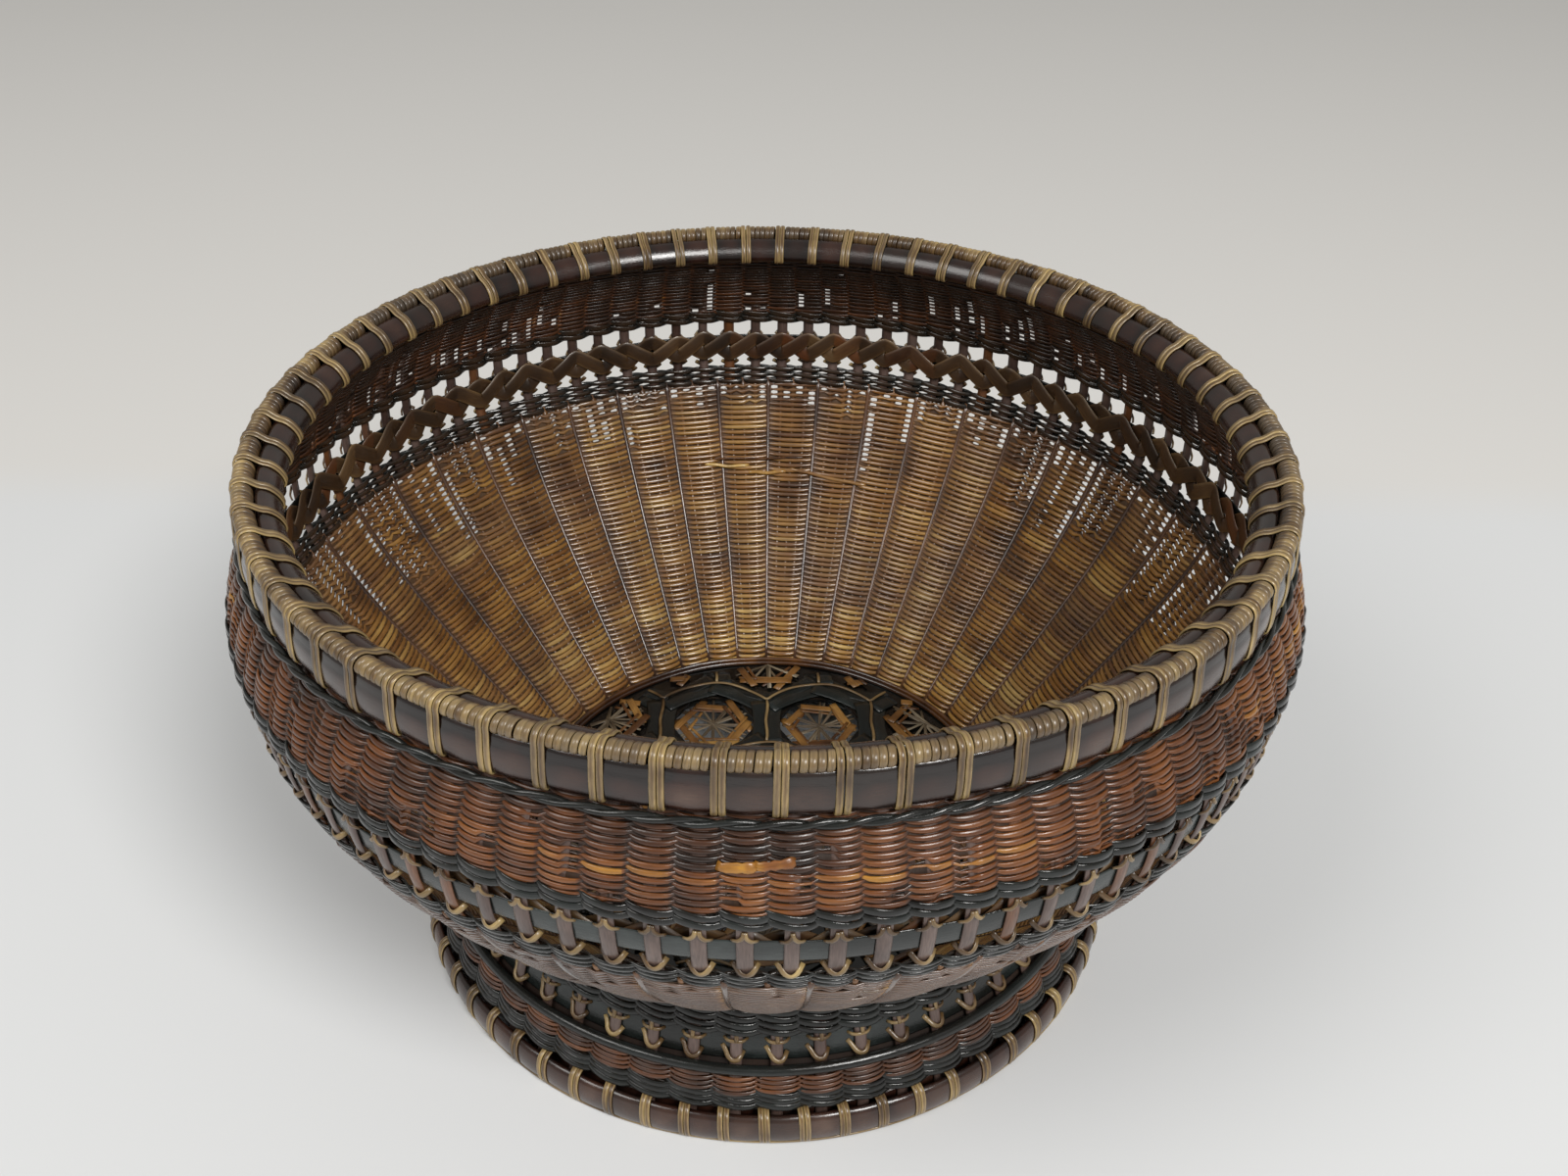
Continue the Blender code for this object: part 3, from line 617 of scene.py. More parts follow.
def lay_flat(strands, x, y, z, limit, wide, thick, section, tint, spread, rng):
    """Lays a strand on the floor, cut at its edge into runs that each take the stain differently."""
    path = np.stack(np.broadcast_arrays(x, y, z), -1)
    for run in inside_runs(x, y, limit):
        strands.add(path[run], UPWARD, wide * MM, thick * MM, section, tint + rng.normal(0, spread))


def length_setting(name, description, default, low, high):
    """A length that a user would change, given in millimetres."""
    return bpy.props.FloatProperty(name=name, description=description, default=default * MM, min=low * MM,
                                   max=high * MM, unit="LENGTH", precision=5)


def colour_setting(name, description, default):
    """A colour that a user would change, given as an sRGB hex value."""
    return bpy.props.FloatVectorProperty(name=name, description=description, default=linear(default), size=3,
                                         min=0, max=1, subtype="COLOR")


class BasketSizes(bpy.types.PropertyGroup):
    """Sizes of the bowl's strands."""

    weaver_spacing: length_setting(
        "Weaver Spacing", "Distance from one fine weaver of the cone to the next", 1.3, 0.8, 2.5)
    weaver_cover: bpy.props.FloatProperty(
        name="Weaver Cover", description="Share of the wall that the weavers on one side of it hide",
        default=0.86, min=0.4, max=1.0, subtype="FACTOR")
    weaver_thickness: length_setting("Weaver Thickness", "Thickness of a fine weaver", 0.9, 0.3, 1.5)
    weave_swing: length_setting(
        "Weave Swing", "How far a weaver's middle leaves the middle of the wall", 1.5, 0.5, 2.0)
    warp_width: length_setting("Warp Width", "Diameter of the cone's fine ribs", 2.2, 1.0, 3.0)
    stake_width: length_setting(
        "Stake Width", "Width of the flat stakes that cross the openwork", 5.1, 2.0, 6.0)
    lashing_width: length_setting(
        "Lashing Width", "Width of one lashing strand, of which two lie side by side", 2.1, 1.0, 3.0)
    twining_width: length_setting(
        "Twining Width", "Width of the black twined strands above the openwork", 2.9, 1.5, 4.0)


class BasketColours(bpy.types.PropertyGroup):
    """Colours of the bowl's cane and of the stage."""

    natural_cane: colour_setting("Natural Cane", "Wraps, lashings and thin border canes", "#8f7851")
    golden_wicker: colour_setting("Golden Wicker", "Middle tint of the cone's weavers", "#875c2b")
    rust_wicker: colour_setting("Rust Wicker", "Middle tint of the upper wall's weavers", "#683a16")
    brown_lacquer: colour_setting("Brown Lacquer", "The rim's and foot's hoops", "#2e1912")
    mauve_skin: colour_setting("Mauve Skin", "The stakes where they cross the openwork and the foot", "#66544d")
    black_lacquer: colour_setting("Black Lacquer", "Twined rows, bands and the plaited floor", "#191a18")
    orange_strip: colour_setting("Orange Strip", "The six strips of each floor rosette", "#8a6230")
    table: colour_setting("Table", "The pale floor of the stage", "#d8dadc")
    cloth: colour_setting("Cloth", "The warmer, far part of the stage", "#d9d8d6")


class BASKET_OT_stage(bpy.types.Operator):
    """Adds the pale floor, the soft studio light and the camera."""

    bl_idname = "basket.stage"
    bl_label = "Stage"

    FOCAL_SHARE = 1498.95 / 1600
    SENSOR = 36.0
    CAMERA_PLACE = (0.0, -491.9 * MM, 498.3 * MM)
    PITCH, YAW, ROLL = (math.radians(v) for v in (35.05, 0.761, 1.041))
    FLOOR_REACH = 4.0
    TABLE_EDGE = 300.0 * MM
    # One large lamp above the front right and a weak one from the left, as the photograph's highlights lie:
    # azimuth and elevation in degrees, diameter and power
    LAMPS = (("key lamp", -58, 46, 1.0, 65.0), ("fill lamp", -145, 50, 1.6, 33.0))
    LAMP_DISTANCE = 3.0
    LAMP_COLOUR = (1.0, 0.985, 0.96)
    AIM_HEIGHT = 120 * MM
    ROOM_COLOUR, ROOM_STRENGTH = "#f1efea", 0.42

    def execute(self, context):
        self.add_floor(context)
        self.add_lights(context)
        self.add_camera(context)
        context.scene.view_settings.view_transform = "Standard"
        return {"FINISHED"}

    def add_floor(self, context):
        colours = context.scene.basket_colours
        half = self.FLOOR_REACH
        corners = [(-half, -half, 0), (half, -half, 0), (half, half, 0), (-half, half, 0)]
        mesh = bpy.data.meshes.new("floor")
        mesh.from_pydata(corners, [], [(0, 1, 2, 3)])
        floor = bpy.data.objects.new("floor", mesh)
        context.scene.collection.objects.link(floor)
        cloth, tree = empty_material("pale table cloth")
        place = add_node(tree, "ShaderNodeTexCoord")
        parts = add_node(tree, "ShaderNodeSeparateXYZ", {0: place.outputs["Object"]})
        # The table's bluish white turns to the warmer cloth behind it over a few centimetres
        change = add_node(tree, "ShaderNodeMapRange", {
            "Value": parts.outputs["Y"], "From Min": self.TABLE_EDGE - 10 * MM,
            "From Max": self.TABLE_EDGE + 60 * MM}, interpolation_type="SMOOTHSTEP")
        colour = add_node(tree, "ShaderNodeMix", {
            "Factor": change.outputs["Result"], 6: (*colours.table, 1.0), 7: (*colours.cloth, 1.0)},
            data_type="RGBA")
        shader = add_node(tree, "ShaderNodeBsdfPrincipled", {"Base Color": colour.outputs[2], "Roughness": 0.8})
        add_node(tree, "ShaderNodeOutputMaterial", {"Surface": shader.outputs["BSDF"]})
        mesh.materials.append(cloth)

    def add_lights(self, context):
        for name, azimuth, elevation, size, power in self.LAMPS:
            lamp = bpy.data.lights.new(name, "AREA")
            lamp.shape = "DISK"
            lamp.size = size
            lamp.energy = power
            lamp.color = self.LAMP_COLOUR
            shown = bpy.data.objects.new(name, lamp)
            back = Vector(turn(math.radians(azimuth), math.cos(math.radians(elevation)),
                               math.sin(math.radians(elevation))).tolist())
            shown.location = back * self.LAMP_DISTANCE + Vector((0, 0, self.AIM_HEIGHT))
            shown.rotation_mode = "QUATERNION"
            shown.rotation_quaternion = back.to_track_quat("Z", "Y")
            context.scene.collection.objects.link(shown)
        world = bpy.data.worlds.new("pale room")
        world.use_nodes = True
        room = world.node_tree.nodes["Background"]
        room.inputs["Color"].default_value = (*linear(self.ROOM_COLOUR), 1.0)
        room.inputs["Strength"].default_value = self.ROOM_STRENGTH
        context.scene.world = world

    def add_camera(self, context):
        camera = bpy.data.cameras.new("camera")
        camera.sensor_width = self.SENSOR
        camera.lens = self.SENSOR * self.FOCAL_SHARE
        shown = bpy.data.objects.new("camera", camera)
        flat = math.cos(self.PITCH)
        ahead = Vector((math.sin(self.YAW) * flat, math.cos(self.YAW) * flat, -math.sin(self.PITCH)))
        level = Vector((math.cos(self.YAW), -math.sin(self.YAW), 0))
        above = level.cross(ahead)
        right = math.cos(self.ROLL) * level + math.sin(self.ROLL) * above
        upward = math.cos(self.ROLL) * above - math.sin(self.ROLL) * level
        turned = Matrix((right, upward, -ahead)).transposed().to_4x4()
        shown.matrix_world = Matrix.Translation(self.CAMERA_PLACE) @ turned
        context.scene.collection.objects.link(shown)
        context.scene.camera = shown


class BASKET_OT_upper_wall(bpy.types.Operator):
    """Weaves the rust-red upper wall over and under the stakes."""

    bl_idname = "basket.upper_wall"
    bl_label = "Upper Wall"

    LOW, HIGH = 183.0 * MM, 222.0 * MM
    SQUEEZE_LOW, SQUEEZE_HIGH = 204.0 * MM, 213.0 * MM
    STAIN_ANGLE, STAIN_HEIGHT = math.radians(-91), 198.5 * MM
    GOLDEN_HEIGHT = 194.5 * MM
    # Where stakes have ladders of pinholes beside them: how many more have, the middle and reach in degrees
    LADDERS = ((0.55, 45, 30), (0.65, 150, 28), (0.3, 330, 40), (0.3, 215, 30))
    # The patch's strips: first and last angle in degrees, and height in millimetres
    PATCH = ((-93.9, -90.6, 198.2, 198.4), (-90.9, -87.5, 198.5, 199.8))

    def execute(self, context):
        sizes = context.scene.basket_sizes
        rng = np.random.default_rng(11)

        def mid(height):
            return MID_DEPTH - 0.85 * MM * self.squeeze(height)

        def swing(height):
            return sizes.weave_swing - 0.2 * MM - 0.65 * MM * self.squeeze(height)

        # The rows close up towards the rim
        heights = [self.LOW]
        while heights[-1] < self.HIGH:
            share = (heights[-1] - self.LOW) / (self.HIGH - self.LOW)
            heights.append(heights[-1] + (1.2 - 0.32 * min(1, share * 1.4)) * MM)
        heights = np.array(heights[:len(heights) // 4 * 4])
        rows = len(heights)
        row_tint = 0.37 + rng.normal(0, 0.07, rows)
        near_golden = np.exp(-((heights - self.GOLDEN_HEIGHT) / (2.2 * MM)) ** 2)
        golden = 0.9 * near_golden + 0.6 * (rng.random(rows) > 0.86)
        tint_drift, bloom_drift = drift(rng, rows, STAKES), drift(rng, rows, STAKES, 4, 14)

        def look(row, column, height, side):
            outside = side > 0
            angle = FIRST_STAKE + column * TURN / STAKES
            beside = (angle - self.STAIN_ANGLE + math.pi) % TURN - math.pi
            stain = np.exp(-(np.hypot(beside / 0.14, (height - self.STAIN_HEIGHT) / (5.5 * MM))) ** 4) * outside
            # The golden rows come and go, and the wall is paler at its right side
            wave = golden[row] * np.clip(0.55 + 0.6 * np.sin(column * 0.35 + row * 0.11), 0, 1)
            paler = np.exp(-(((np.degrees(angle) + 32) / 30) ** 2))
            tint = row_tint[row] + 0.12 * paler + 0.42 * wave + 0.05 * tint_drift[row, column] - 0.38 * stain
            bloom = np.clip(0.05 + 0.16 * bloom_drift[row, column], 0, 0.5) * (1 - 0.7 * wave)
            # Inside the bowl the weavers are painted darker, as painted shade on the wall's inner face, with a
            # little bloom
            return (np.where(outside, tint, row_tint[row] - 0.3),
                    np.where(outside, np.clip(bloom - 0.5 * stain, 0, 1), 0.15))

        loose = self.pinholes(rng, rows // 2 - 1)
        pinched = pinch(loose, ((1, 2, 3), (5, 6, 7)))
        for name, first, end in (("upper_wall_weavers_low", 0, rows // 2),
                                 ("upper_wall_weavers_high", rows // 2, rows)):
            strands = Strands()
            weave(strands, WALL, heights[first:end], STAKES, FIRST_STAKE, mid, swing, sizes.weaver_cover + 0.02,
                  sizes.weaver_thickness, rng, lambda row, *place: look(row + first, *place), sag=0.25 * MM,
                  loose=pinched[first // 2:])
            strands.make(name, red_wicker(), "red_wicker", "upper_wall")

        # The dark sheet of painted shade inside the weave is open where a pinhole goes through
        angles = FIRST_STAKE + (np.arange(4 * STAKES) + 0.5) * TURN / (4 * STAKES)
        levels = np.concatenate([[self.LOW - 1 * MM], (heights[::2] + heights[1::2]) / 2, [self.HIGH + 1 * MM]])
        holes = np.zeros((len(levels) - 1, len(angles)), bool)
        holes[1:-1, 0::4] = loose[:, :, 1]
        holes[1:-1, 2::4] = np.roll(loose[:, :, 0], -1, 1)
        add_shell("upper_wall_shade_sheet", WALL, angles, levels, mid(levels), holes, 0.5, "red_wicker",
                  "upper_wall")
        self.add_patch(rng)
        return {"FINISHED"}

    def squeeze(self, height):
        """How far the wall has been pressed thin between the hoops, from 0 to 1."""
        return np.clip((height - self.SQUEEZE_LOW) / (self.SQUEEZE_HIGH - self.SQUEEZE_LOW), 0, 1)

    def pinholes(self, rng, levels):
        """Marks the pinholes beside the stakes: many ladders of them at the sides, few at front and back."""
        loose = np.zeros((levels, STAKES, 2), bool)
        degrees = np.degrees(steps_round(STAKES, FIRST_STAKE)) % 360
        share = np.full(STAKES, 0.15)
        for more, middle, reach in self.LADDERS:
            share += more * np.exp(-((degrees - middle) / reach) ** 2)
        for stake in range(STAKES):
            for side in range(2):
                if rng.random() < share[stake]:
                    first = rng.integers(0, 4)
                    loose[first:first + rng.integers(2, 8), stake, side] = True
                if rng.random() < 0.25:
                    loose[rng.integers(0, levels - 5), stake, side] = True
        loose[0] |= rng.random((STAKES, 1)) < 0.3
        return loose & (rng.random(loose.shape) < 0.9)

    def add_patch(self, rng):
        """Two flat tan strips tucked over the stained place at the front, as an old repair."""
        strands = Strands()
        for start, end, low, high in self.PATCH:
            angle = np.radians(np.linspace(start, end, 9))
            height = np.linspace(low, high, 9) * MM
            depth = 0.15 * MM + 1.1 * MM * np.abs(np.linspace(-1, 1, 9)) ** 6
            wide = 1.6 * MM * (1 + rng.normal(0, 0.12, 9))
            strands.lay(WALL, angle, height, depth, wide, 0.3 * MM, CROWNED, 0.82 + rng.normal(0, 0.06, 9))
        strands.make("upper_wall_patch", red_wicker(), "red_wicker")


class BASKET_OT_stakes(bpy.types.Operator):
    """Stands the flat stakes that run up the upper wall and cross the openwork as bars."""

    bl_idname = "basket.stakes"
    bl_label = "Stakes"

    LOW, HIGH = 145.5 * MM, 221.0 * MM
    DEPTH, DEPTH_AT_RIM = 2.74 * MM, 1.6 * MM
    TWINING_TOP = 184.0 * MM
    HALF_THICKNESS = 0.6 * MM

    def execute(self, context):
        sizes = context.scene.basket_sizes
        rng = np.random.default_rng(12)
        strands = Strands()
        heights = np.concatenate([np.linspace(self.LOW, self.TWINING_TOP, 13),
                                  np.linspace(190 * MM, self.HIGH, 6)])
        angles = steps_round(STAKES, FIRST_STAKE) + rng.normal(0, 0.0008, STAKES)
        depth = np.interp(heights, [self.TWINING_TOP, 212 * MM], [self.DEPTH, self.DEPTH_AT_RIM])
        width = sizes.stake_width / 2 * (1 + rng.normal(0, 0.05, (STAKES, 1)))
        tint = 0.8 + rng.normal(0, 0.12, (STAKES, 1))
        orange = np.where(rng.random((STAKES, 1)) < 0.2, rng.uniform(0.4, 1.0, (STAKES, 1)), 0.0)
        strands.lay(WALL, angles[:, None], heights[None, :], depth[None, :], width, self.HALF_THICKNESS,
                    CROWNED, tint, bloom=orange)
        strands.make("stake_canes", mauve_cane(), "mauve_cane", "stakes")
        return {"FINISHED"}


class BASKET_OT_openwork(bpy.types.Operator):
    """Lays the flat band, the two crossing strips and the golden ties of the openwork."""

    bl_idname = "basket.openwork"
    bl_label = "Openwork"

    BAND_MIDDLE, BAND_HEIGHT, BAND_DEPTH = 165.8 * MM, 9.6 * MM, 3.85 * MM
    CROSS_TOP, CROSS_BOTTOM = 170.0 * MM, 161.8 * MM
    CROSS_WIDTH, CROSS_DEPTH, CROSS_LIFT = 7.2 * MM, 6.2 * MM, 0.85 * MM
    TURN_SHARPNESS = 0.98
    SAMPLES = 12
    # The crossing strips are painted paler along their edges, as a painted highlight
    EDGE_PAINTED_HIGHLIGHT = np.array([0.0, 0.5, 0.4, -0.05, -0.1, -0.05, 0.4, 0.5])
    # Offset beside the stake, height and depth along each tie
    HOOK = [(-4.2, 158.3, 4.6), (-3.1, 156.9, 3.5), (-1.9, 155.6, 1.8), (-0.4, 154.8, 1.2), (1.1, 154.9, 1.2),
            (2.6, 156.1, 1.8), (4.2, 158.0, 4.4)]
    LEFT_FOLD = [(-3.9, 170.6, 3.1), (-3.1, 171.3, 2.3), (-2.3, 171.9, 1.6), (-1.4, 172.6, 1.4),
                 (-0.5, 173.8, 1.45), (-0.3, 175.4, 1.8)]
    RIGHT_FOLD = [(-offset, height, depth) for offset, height, depth in LEFT_FOLD[::-1]]

    def execute(self, context):
        rng = np.random.default_rng(13)
        self.add_band()
        self.add_crossing(rng)
        ties = Strands()
        # Each hook is painted lighter on its right arm, as a painted highlight
        for line, wide, painted_side_light in ((self.HOOK, 1.05, (0.3, 0.62)), (self.LEFT_FOLD, 0.75, (0.4, 0.4)),
                                   (self.RIGHT_FOLD, 0.75, (0.4, 0.4))):
            tie_stakes(ties, WALL, STAKES, FIRST_STAKE, BELLY_RADIUS, line, wide, painted_side_light, rng)
        ties.make("openwork_ties", tan_cane(), "gold_wicker")
        return {"FINISHED"}

    def add_band(self):
        strands = Strands()
        angle = steps_round(STAKES * 4)
        height = self.BAND_MIDDLE + 0.2 * MM * np.sin(angle * 9) + 0.15 * MM * np.sin(angle * 31)
        # The band's inner face is painted dark, as painted shade inside the bowl
        strands.lay(WALL, angle, height, self.BAND_DEPTH, self.BAND_HEIGHT / 2, 0.35 * MM, STRIP,
                    0.78 + 0.12 * np.sin(angle * 7 + 1), closed=True, shade=INNER_PAINTED_SHADE)
        strands.make("openwork_band", black_cane(), "black_cane", "flat_band")

    def add_crossing(self, rng):
        strands = Strands()
        reach = np.arange(STAKES * self.SAMPLES) / self.SAMPLES
        angle = FIRST_STAKE + reach * TURN / STAKES
        crossing = np.repeat(rng.choice([-1, 1], STAKES), self.SAMPLES)
        for phase in (0, 1):
            swing = np.cos(math.pi * (reach + phase))
            level = np.arcsin(self.TURN_SHARPNESS * swing) / math.asin(self.TURN_SHARPNESS)
            wander = np.resize(rng.normal(0, 0.45 * MM, STAKES), STAKES + 1)
            uneven = np.interp(reach, np.arange(STAKES + 1), wander)
            height = (self.CROSS_TOP + self.CROSS_BOTTOM) / 2 + (self.CROSS_TOP - self.CROSS_BOTTOM) / 2 * level
            over = np.abs(np.sin(math.pi * reach)) * crossing * (1 if phase else -1)
            # Each run between two stakes is a strip of its own shade, some of them redder
            run = np.repeat(rng.normal(0, 1, (STAKES, 2)), self.SAMPLES, axis=0)
            strands.add(WALL.point(angle, height + uneven, self.CROSS_DEPTH + self.CROSS_LIFT * over),
                        WALL.outward(angle, height), self.CROSS_WIDTH / 2, STRAND_HALF, CROWNED_INSIDE,
                        0.36 + 0.14 * run[:, 0], closed=True, shade=self.EDGE_PAINTED_HIGHLIGHT,
                        bloom=np.clip(run[:, 1] * 0.4 - 0.2, 0, 0.7))
        strands.make("crossing_strips", brown_wicker(), "gold_wicker", "cross_strip_left", "cross_strip_right")


class BASKET_OT_twining(bpy.types.Operator):
    """Twines the black rows above and below the openwork, each stake held between two strands."""

    bl_idname = "basket.twining"
    bl_label = "Twined Rows"

    TINT = 0.36
    # Height in millimetres and share of the twining width above, height and width in millimetres below
    UPPER_ROWS = ((182.2, 1.0), (179.2, 0.95))
    LOWER_ROWS = ((152.9, 2.25), (149.9, 2.15), (147.0, 2.3))

    def execute(self, context):
        sizes = context.scene.basket_sizes
        rng = np.random.default_rng(14)
        upper = Strands()
        for height, share in self.UPPER_ROWS:
            twine(upper, WALL, height * MM, STAKES, FIRST_STAKE, 2.2 * MM, 1.75 * MM, 0.75 * MM,
                  sizes.twining_width * share, 1.15 * MM, self.TINT, rng)
        upper.make("upper_twined_rows", black_cane(), "black_cane",
                   "upper_twining_outer", "upper_twining_inner")
        lower = Strands()
        for height, wide in self.LOWER_ROWS:
            twine(lower, WALL, height * MM, STAKES, FIRST_STAKE, BASKET_OT_stakes.DEPTH, 1.4 * MM, 0.3 * MM,
                  wide * MM, 0.95 * MM, self.TINT, rng)
        lower.make("lower_twined_rows", black_cane(), "black_cane",
                   "lower_twining_outer", "lower_twining_inner")
        return {"FINISHED"}


class BASKET_OT_cone(bpy.types.Operator):
    """Weaves the fine golden cone and its ribs down to the floor, with a dark sheet of painted shade inside it.
    """

    bl_idname = "basket.cone"
    bl_label = "Cone"

    LOW, HIGH = 31.2 * MM, 146.4 * MM
    SEAM = 58.5 * MM
    HOLE_LEVELS = 16
    # The spliced weavers: first and last angle in degrees, height and width in millimetres, tint and bloom
    SPLICE = ((101, 93.5, 110.6, 109.0, 1.7, 0.95, 0.0), (93.8, 87.0, 106.4, 106.8, 1.9, 0.7, 0.0),
              (99.5, 84.0, 112.4, 112.8, 1.2, 0.12, 0.0), (86.5, 73.0, 107.8, 104.0, 1.8, 0.62, 0.25))

    def execute(self, context):
        sizes = context.scene.basket_sizes
        rng = np.random.default_rng(15)
        heights = WALL.heights(self.LOW, self.HIGH, sizes.weaver_spacing)[::-1]
        rows = len(heights)
        row_tint = 0.55 + rng.normal(0, 0.09, rows)
        band_tint, band_bloom = rng.normal(0, 0.05, BANDS), rng.uniform(0, 0.3, BANDS)
        tint_drift, bloom_drift = drift(rng, rows + 2, BANDS, 3, 12), drift(rng, rows + 2, BANDS, 5, 16)

        def look(row, column, height, side):
            inside = side < 0
            tint = row_tint[np.minimum(row, rows - 1)] + band_tint[column] + 0.06 * tint_drift[row, column]
            # The weavers are painted lighter towards the floor, as painted glints, and a little darker towards
            # the top
            tint = tint + np.interp(height / MM, [40, 90, 140], [0.14, 0.02, -0.05])
            bloom = np.clip(band_bloom[column] + 0.22 * bloom_drift[row, column], 0, 0.6)
            # Outside, under the belly, the floats are painted darker and mostly mauve-grey: painted shade and a
            # painted reflection
            return np.where(inside, tint, tint - 0.12), np.where(inside, bloom, 0.85)

        # The cone is made in three parts of an even count of rows each, of which the top one has the pinholes
        seam = int(np.searchsorted(-heights, -self.SEAM)) // 2 * 2
        third = seam * 4 // 9 // 2 * 2
        holes = self.pinholes(rng)
        for name, node, start, end in (("cone_weavers_top", "lower_wall", 0, third),
                                       ("cone_weavers_middle", "lower_wall", third, seam),
                                       ("cone_weavers_base", "base_wall", seam, rows)):
            strands = Strands()
            weave(strands, WALL, heights[start:end + 1], BANDS, FIRST_BAND, lambda h: MID_DEPTH,
                  lambda h: sizes.weave_swing, sizes.weaver_cover, sizes.weaver_thickness, rng,
                  lambda row, *place: look(row + start, *place), samples=6 if start else WEAVE_SAMPLES,
                  loose=None if start else pinch(holes, ((1,), (3,), (5,), (7,))))
            strands.make(name, gold_wicker(), "gold_wicker", node)
        self.add_warps(sizes, rng)

        # The dark sheet of painted shade inside the weave is open where a pinhole goes through
        angles = FIRST_BAND + (np.arange(8 * BANDS) - 4.5) * TURN / (8 * BANDS)
        count = self.HOLE_LEVELS
        pairs = (heights[0:2 * count + 2:2] + heights[1:2 * count + 2:2]) / 2
        levels = np.concatenate([np.linspace(self.LOW, pairs[-1] - 4 * MM, 16), pairs[::-1],
                                 [self.HIGH + 0.8 * MM]])
        opened = np.zeros((len(levels) - 1, len(angles)), bool)
        opened[-1 - count:-1, 1::2] = holes[::-1].reshape(count, 4 * BANDS)
        add_shell("cone_shade_sheet", WALL, angles, levels, MID_DEPTH, opened, 0.9, "gold_wicker", "lower_wall")
        self.add_splice(rng)
        return {"FINISHED"}

    def pinholes(self, rng):
        """Marks the pinholes between the ribs under the openwork, four places to a band, in ladders.

        The ladders are longest at the bowl's sides and short in the far wall.
        """
        aside = np.abs(np.cos(steps_round(BANDS, FIRST_BAND)))[None, :, None]
        share = np.clip(0.62 + 0.3 * aside, 0, 0.9)
        length = np.log(rng.random((1, BANDS, 4))) / np.log(share) + 0.4
        reached = np.arange(self.HOLE_LEVELS)[:, None, None] < length
        return reached & (rng.random((self.HOLE_LEVELS, BANDS, 4)) < 0.85)

    def add_warps(self, sizes, rng):
        strands = Strands()
        levels = np.linspace(self.LOW, self.HIGH + 1.5 * MM, 26)
        angles = steps_round(WARPS, FIRST_STAKE) + rng.normal(0, 0.0012, WARPS)
        # Every fourth rib stands between two bands, a little broader, and is painted dark, as painted shade in
        # the groove where the weavers pass it
        between = (np.arange(WARPS)[:, None] % 4 == 3).astype(float)
        narrow = np.interp(levels, [self.LOW, self.HIGH], [0.7, 1.0]) * sizes.warp_width / 2
        strands.lay(WALL, angles[:, None], levels[None, :], MID_DEPTH, narrow[None, :] * (1 + 0.12 * between),
                    0.95 * MM, ROUND_EIGHT, 0.3 - 0.2 * between + rng.normal(0, 0.08, (WARPS, 1)), bloom=0.3)
        strands.make("cone_ribs", gold_wicker(), "gold_wicker")

    def add_splice(self, rng):
        """Lays the thicker, uneven weavers that cross the far wall's middle, where the weaver was spliced."""
        strands = Strands()
        for start, end, low, high, wide, tint, bloom in self.SPLICE:
            angle = np.radians(np.linspace(start, end, 40))
            height = np.linspace(low, high, 40) * MM + 0.3 * MM * np.sin(np.linspace(0, 9, 40))
            depth = 4.75 * MM - 1.6 * MM * np.abs(np.linspace(-1, 1, 40)) ** 10
            strands.lay(WALL, angle, height, depth, wide / 2 * MM, STRAND_HALF, CROWNED_INSIDE,
                        tint + rng.normal(0, 0.04, 40), bloom=bloom)
        strands.make("cone_splice", gold_wicker(), "gold_wicker")


class BASKET_OT_rim_hoops(bpy.types.Operator):
    """Bends the two rim hoops, and the thin canes over and under the outer one."""

    bl_idname = "basket.rim_hoops"
    bl_label = "Rim Hoops"

    # Section corners: radius and height in millimetres, and a tint that paints light and shade round the
    # section. The outer hoop has a pale painted highlight along its top edge, a dark painted reflection below
    # it, a painted mauve-grey reflection on its face and a dark lower edge. The inner hoop is painted a little
    # lighter over its rounded top.
    OUTER = [(191.0, 212.8, 0.1), (193.4, 212.5, 0.1), (194.7, 213.4, 0.2), (195.2, 215.4, 0.55),
             (195.4, 219.0, 0.66), (195.2, 222.6, 0.4), (194.7, 224.2, 0.02), (194.2, 227.2, 0.0),
             (193.2, 228.1, 0.6), (191.0, 228.1, 0.2)]
    INNER = [(187.2, 219.8, 0.2), (187.7, 228.4, 0.2), (185.6, 228.9, 0.25), (183.0, 227.9, 0.32),
             (180.7, 225.8, 0.32), (179.0, 222.9, 0.25), (178.7, 220.4, 0.2), (180.2, 219.3, 0.25),
             (184.0, 219.3, 0.2)]
    UNDER_RADIUS, UNDER_HEIGHT = 196.3 * MM, 210.4 * MM
    UNDER_TWISTS = 47

    def execute(self, context):
        rng = np.random.default_rng(21)
        for name, node, corners, bulge in (("rim_outer_cane", "rim_outer_hoop", self.OUTER, 0.45 * MM),
                                           ("rim_inner_cane", "rim_inner_hoop", self.INNER, -0.2 * MM)):
            bend_hoop(name, node, corners, rng, bulge, RIM_LASHINGS, FIRST_RIM_LASHING)
        # Two thin black canes, twisted loosely round each other, close the joint under the outer hoop
        under = Strands()
        angle = steps_round(18 * self.UNDER_TWISTS)
        for phase in (0, math.pi):
            twist = self.UNDER_TWISTS * angle + 0.8 * np.sin(angle * 5) + phase
            under.add(turn(angle, self.UNDER_RADIUS + 0.7 * MM * np.cos(twist),
                           self.UNDER_HEIGHT + 0.75 * MM * np.sin(twist)),
                      turn(angle, 1.0, 0.0), 1.1 * MM, 1.0 * MM, ROUND_SIX,
                      0.42 + 0.1 * np.sin(angle * 9 + phase), closed=True)
        under.make("rim_under_twisted_canes", black_cane(), "black_cane", "rim_under_cane")
        keep("rim_top_cane", tan_cane())
        return {"FINISHED"}


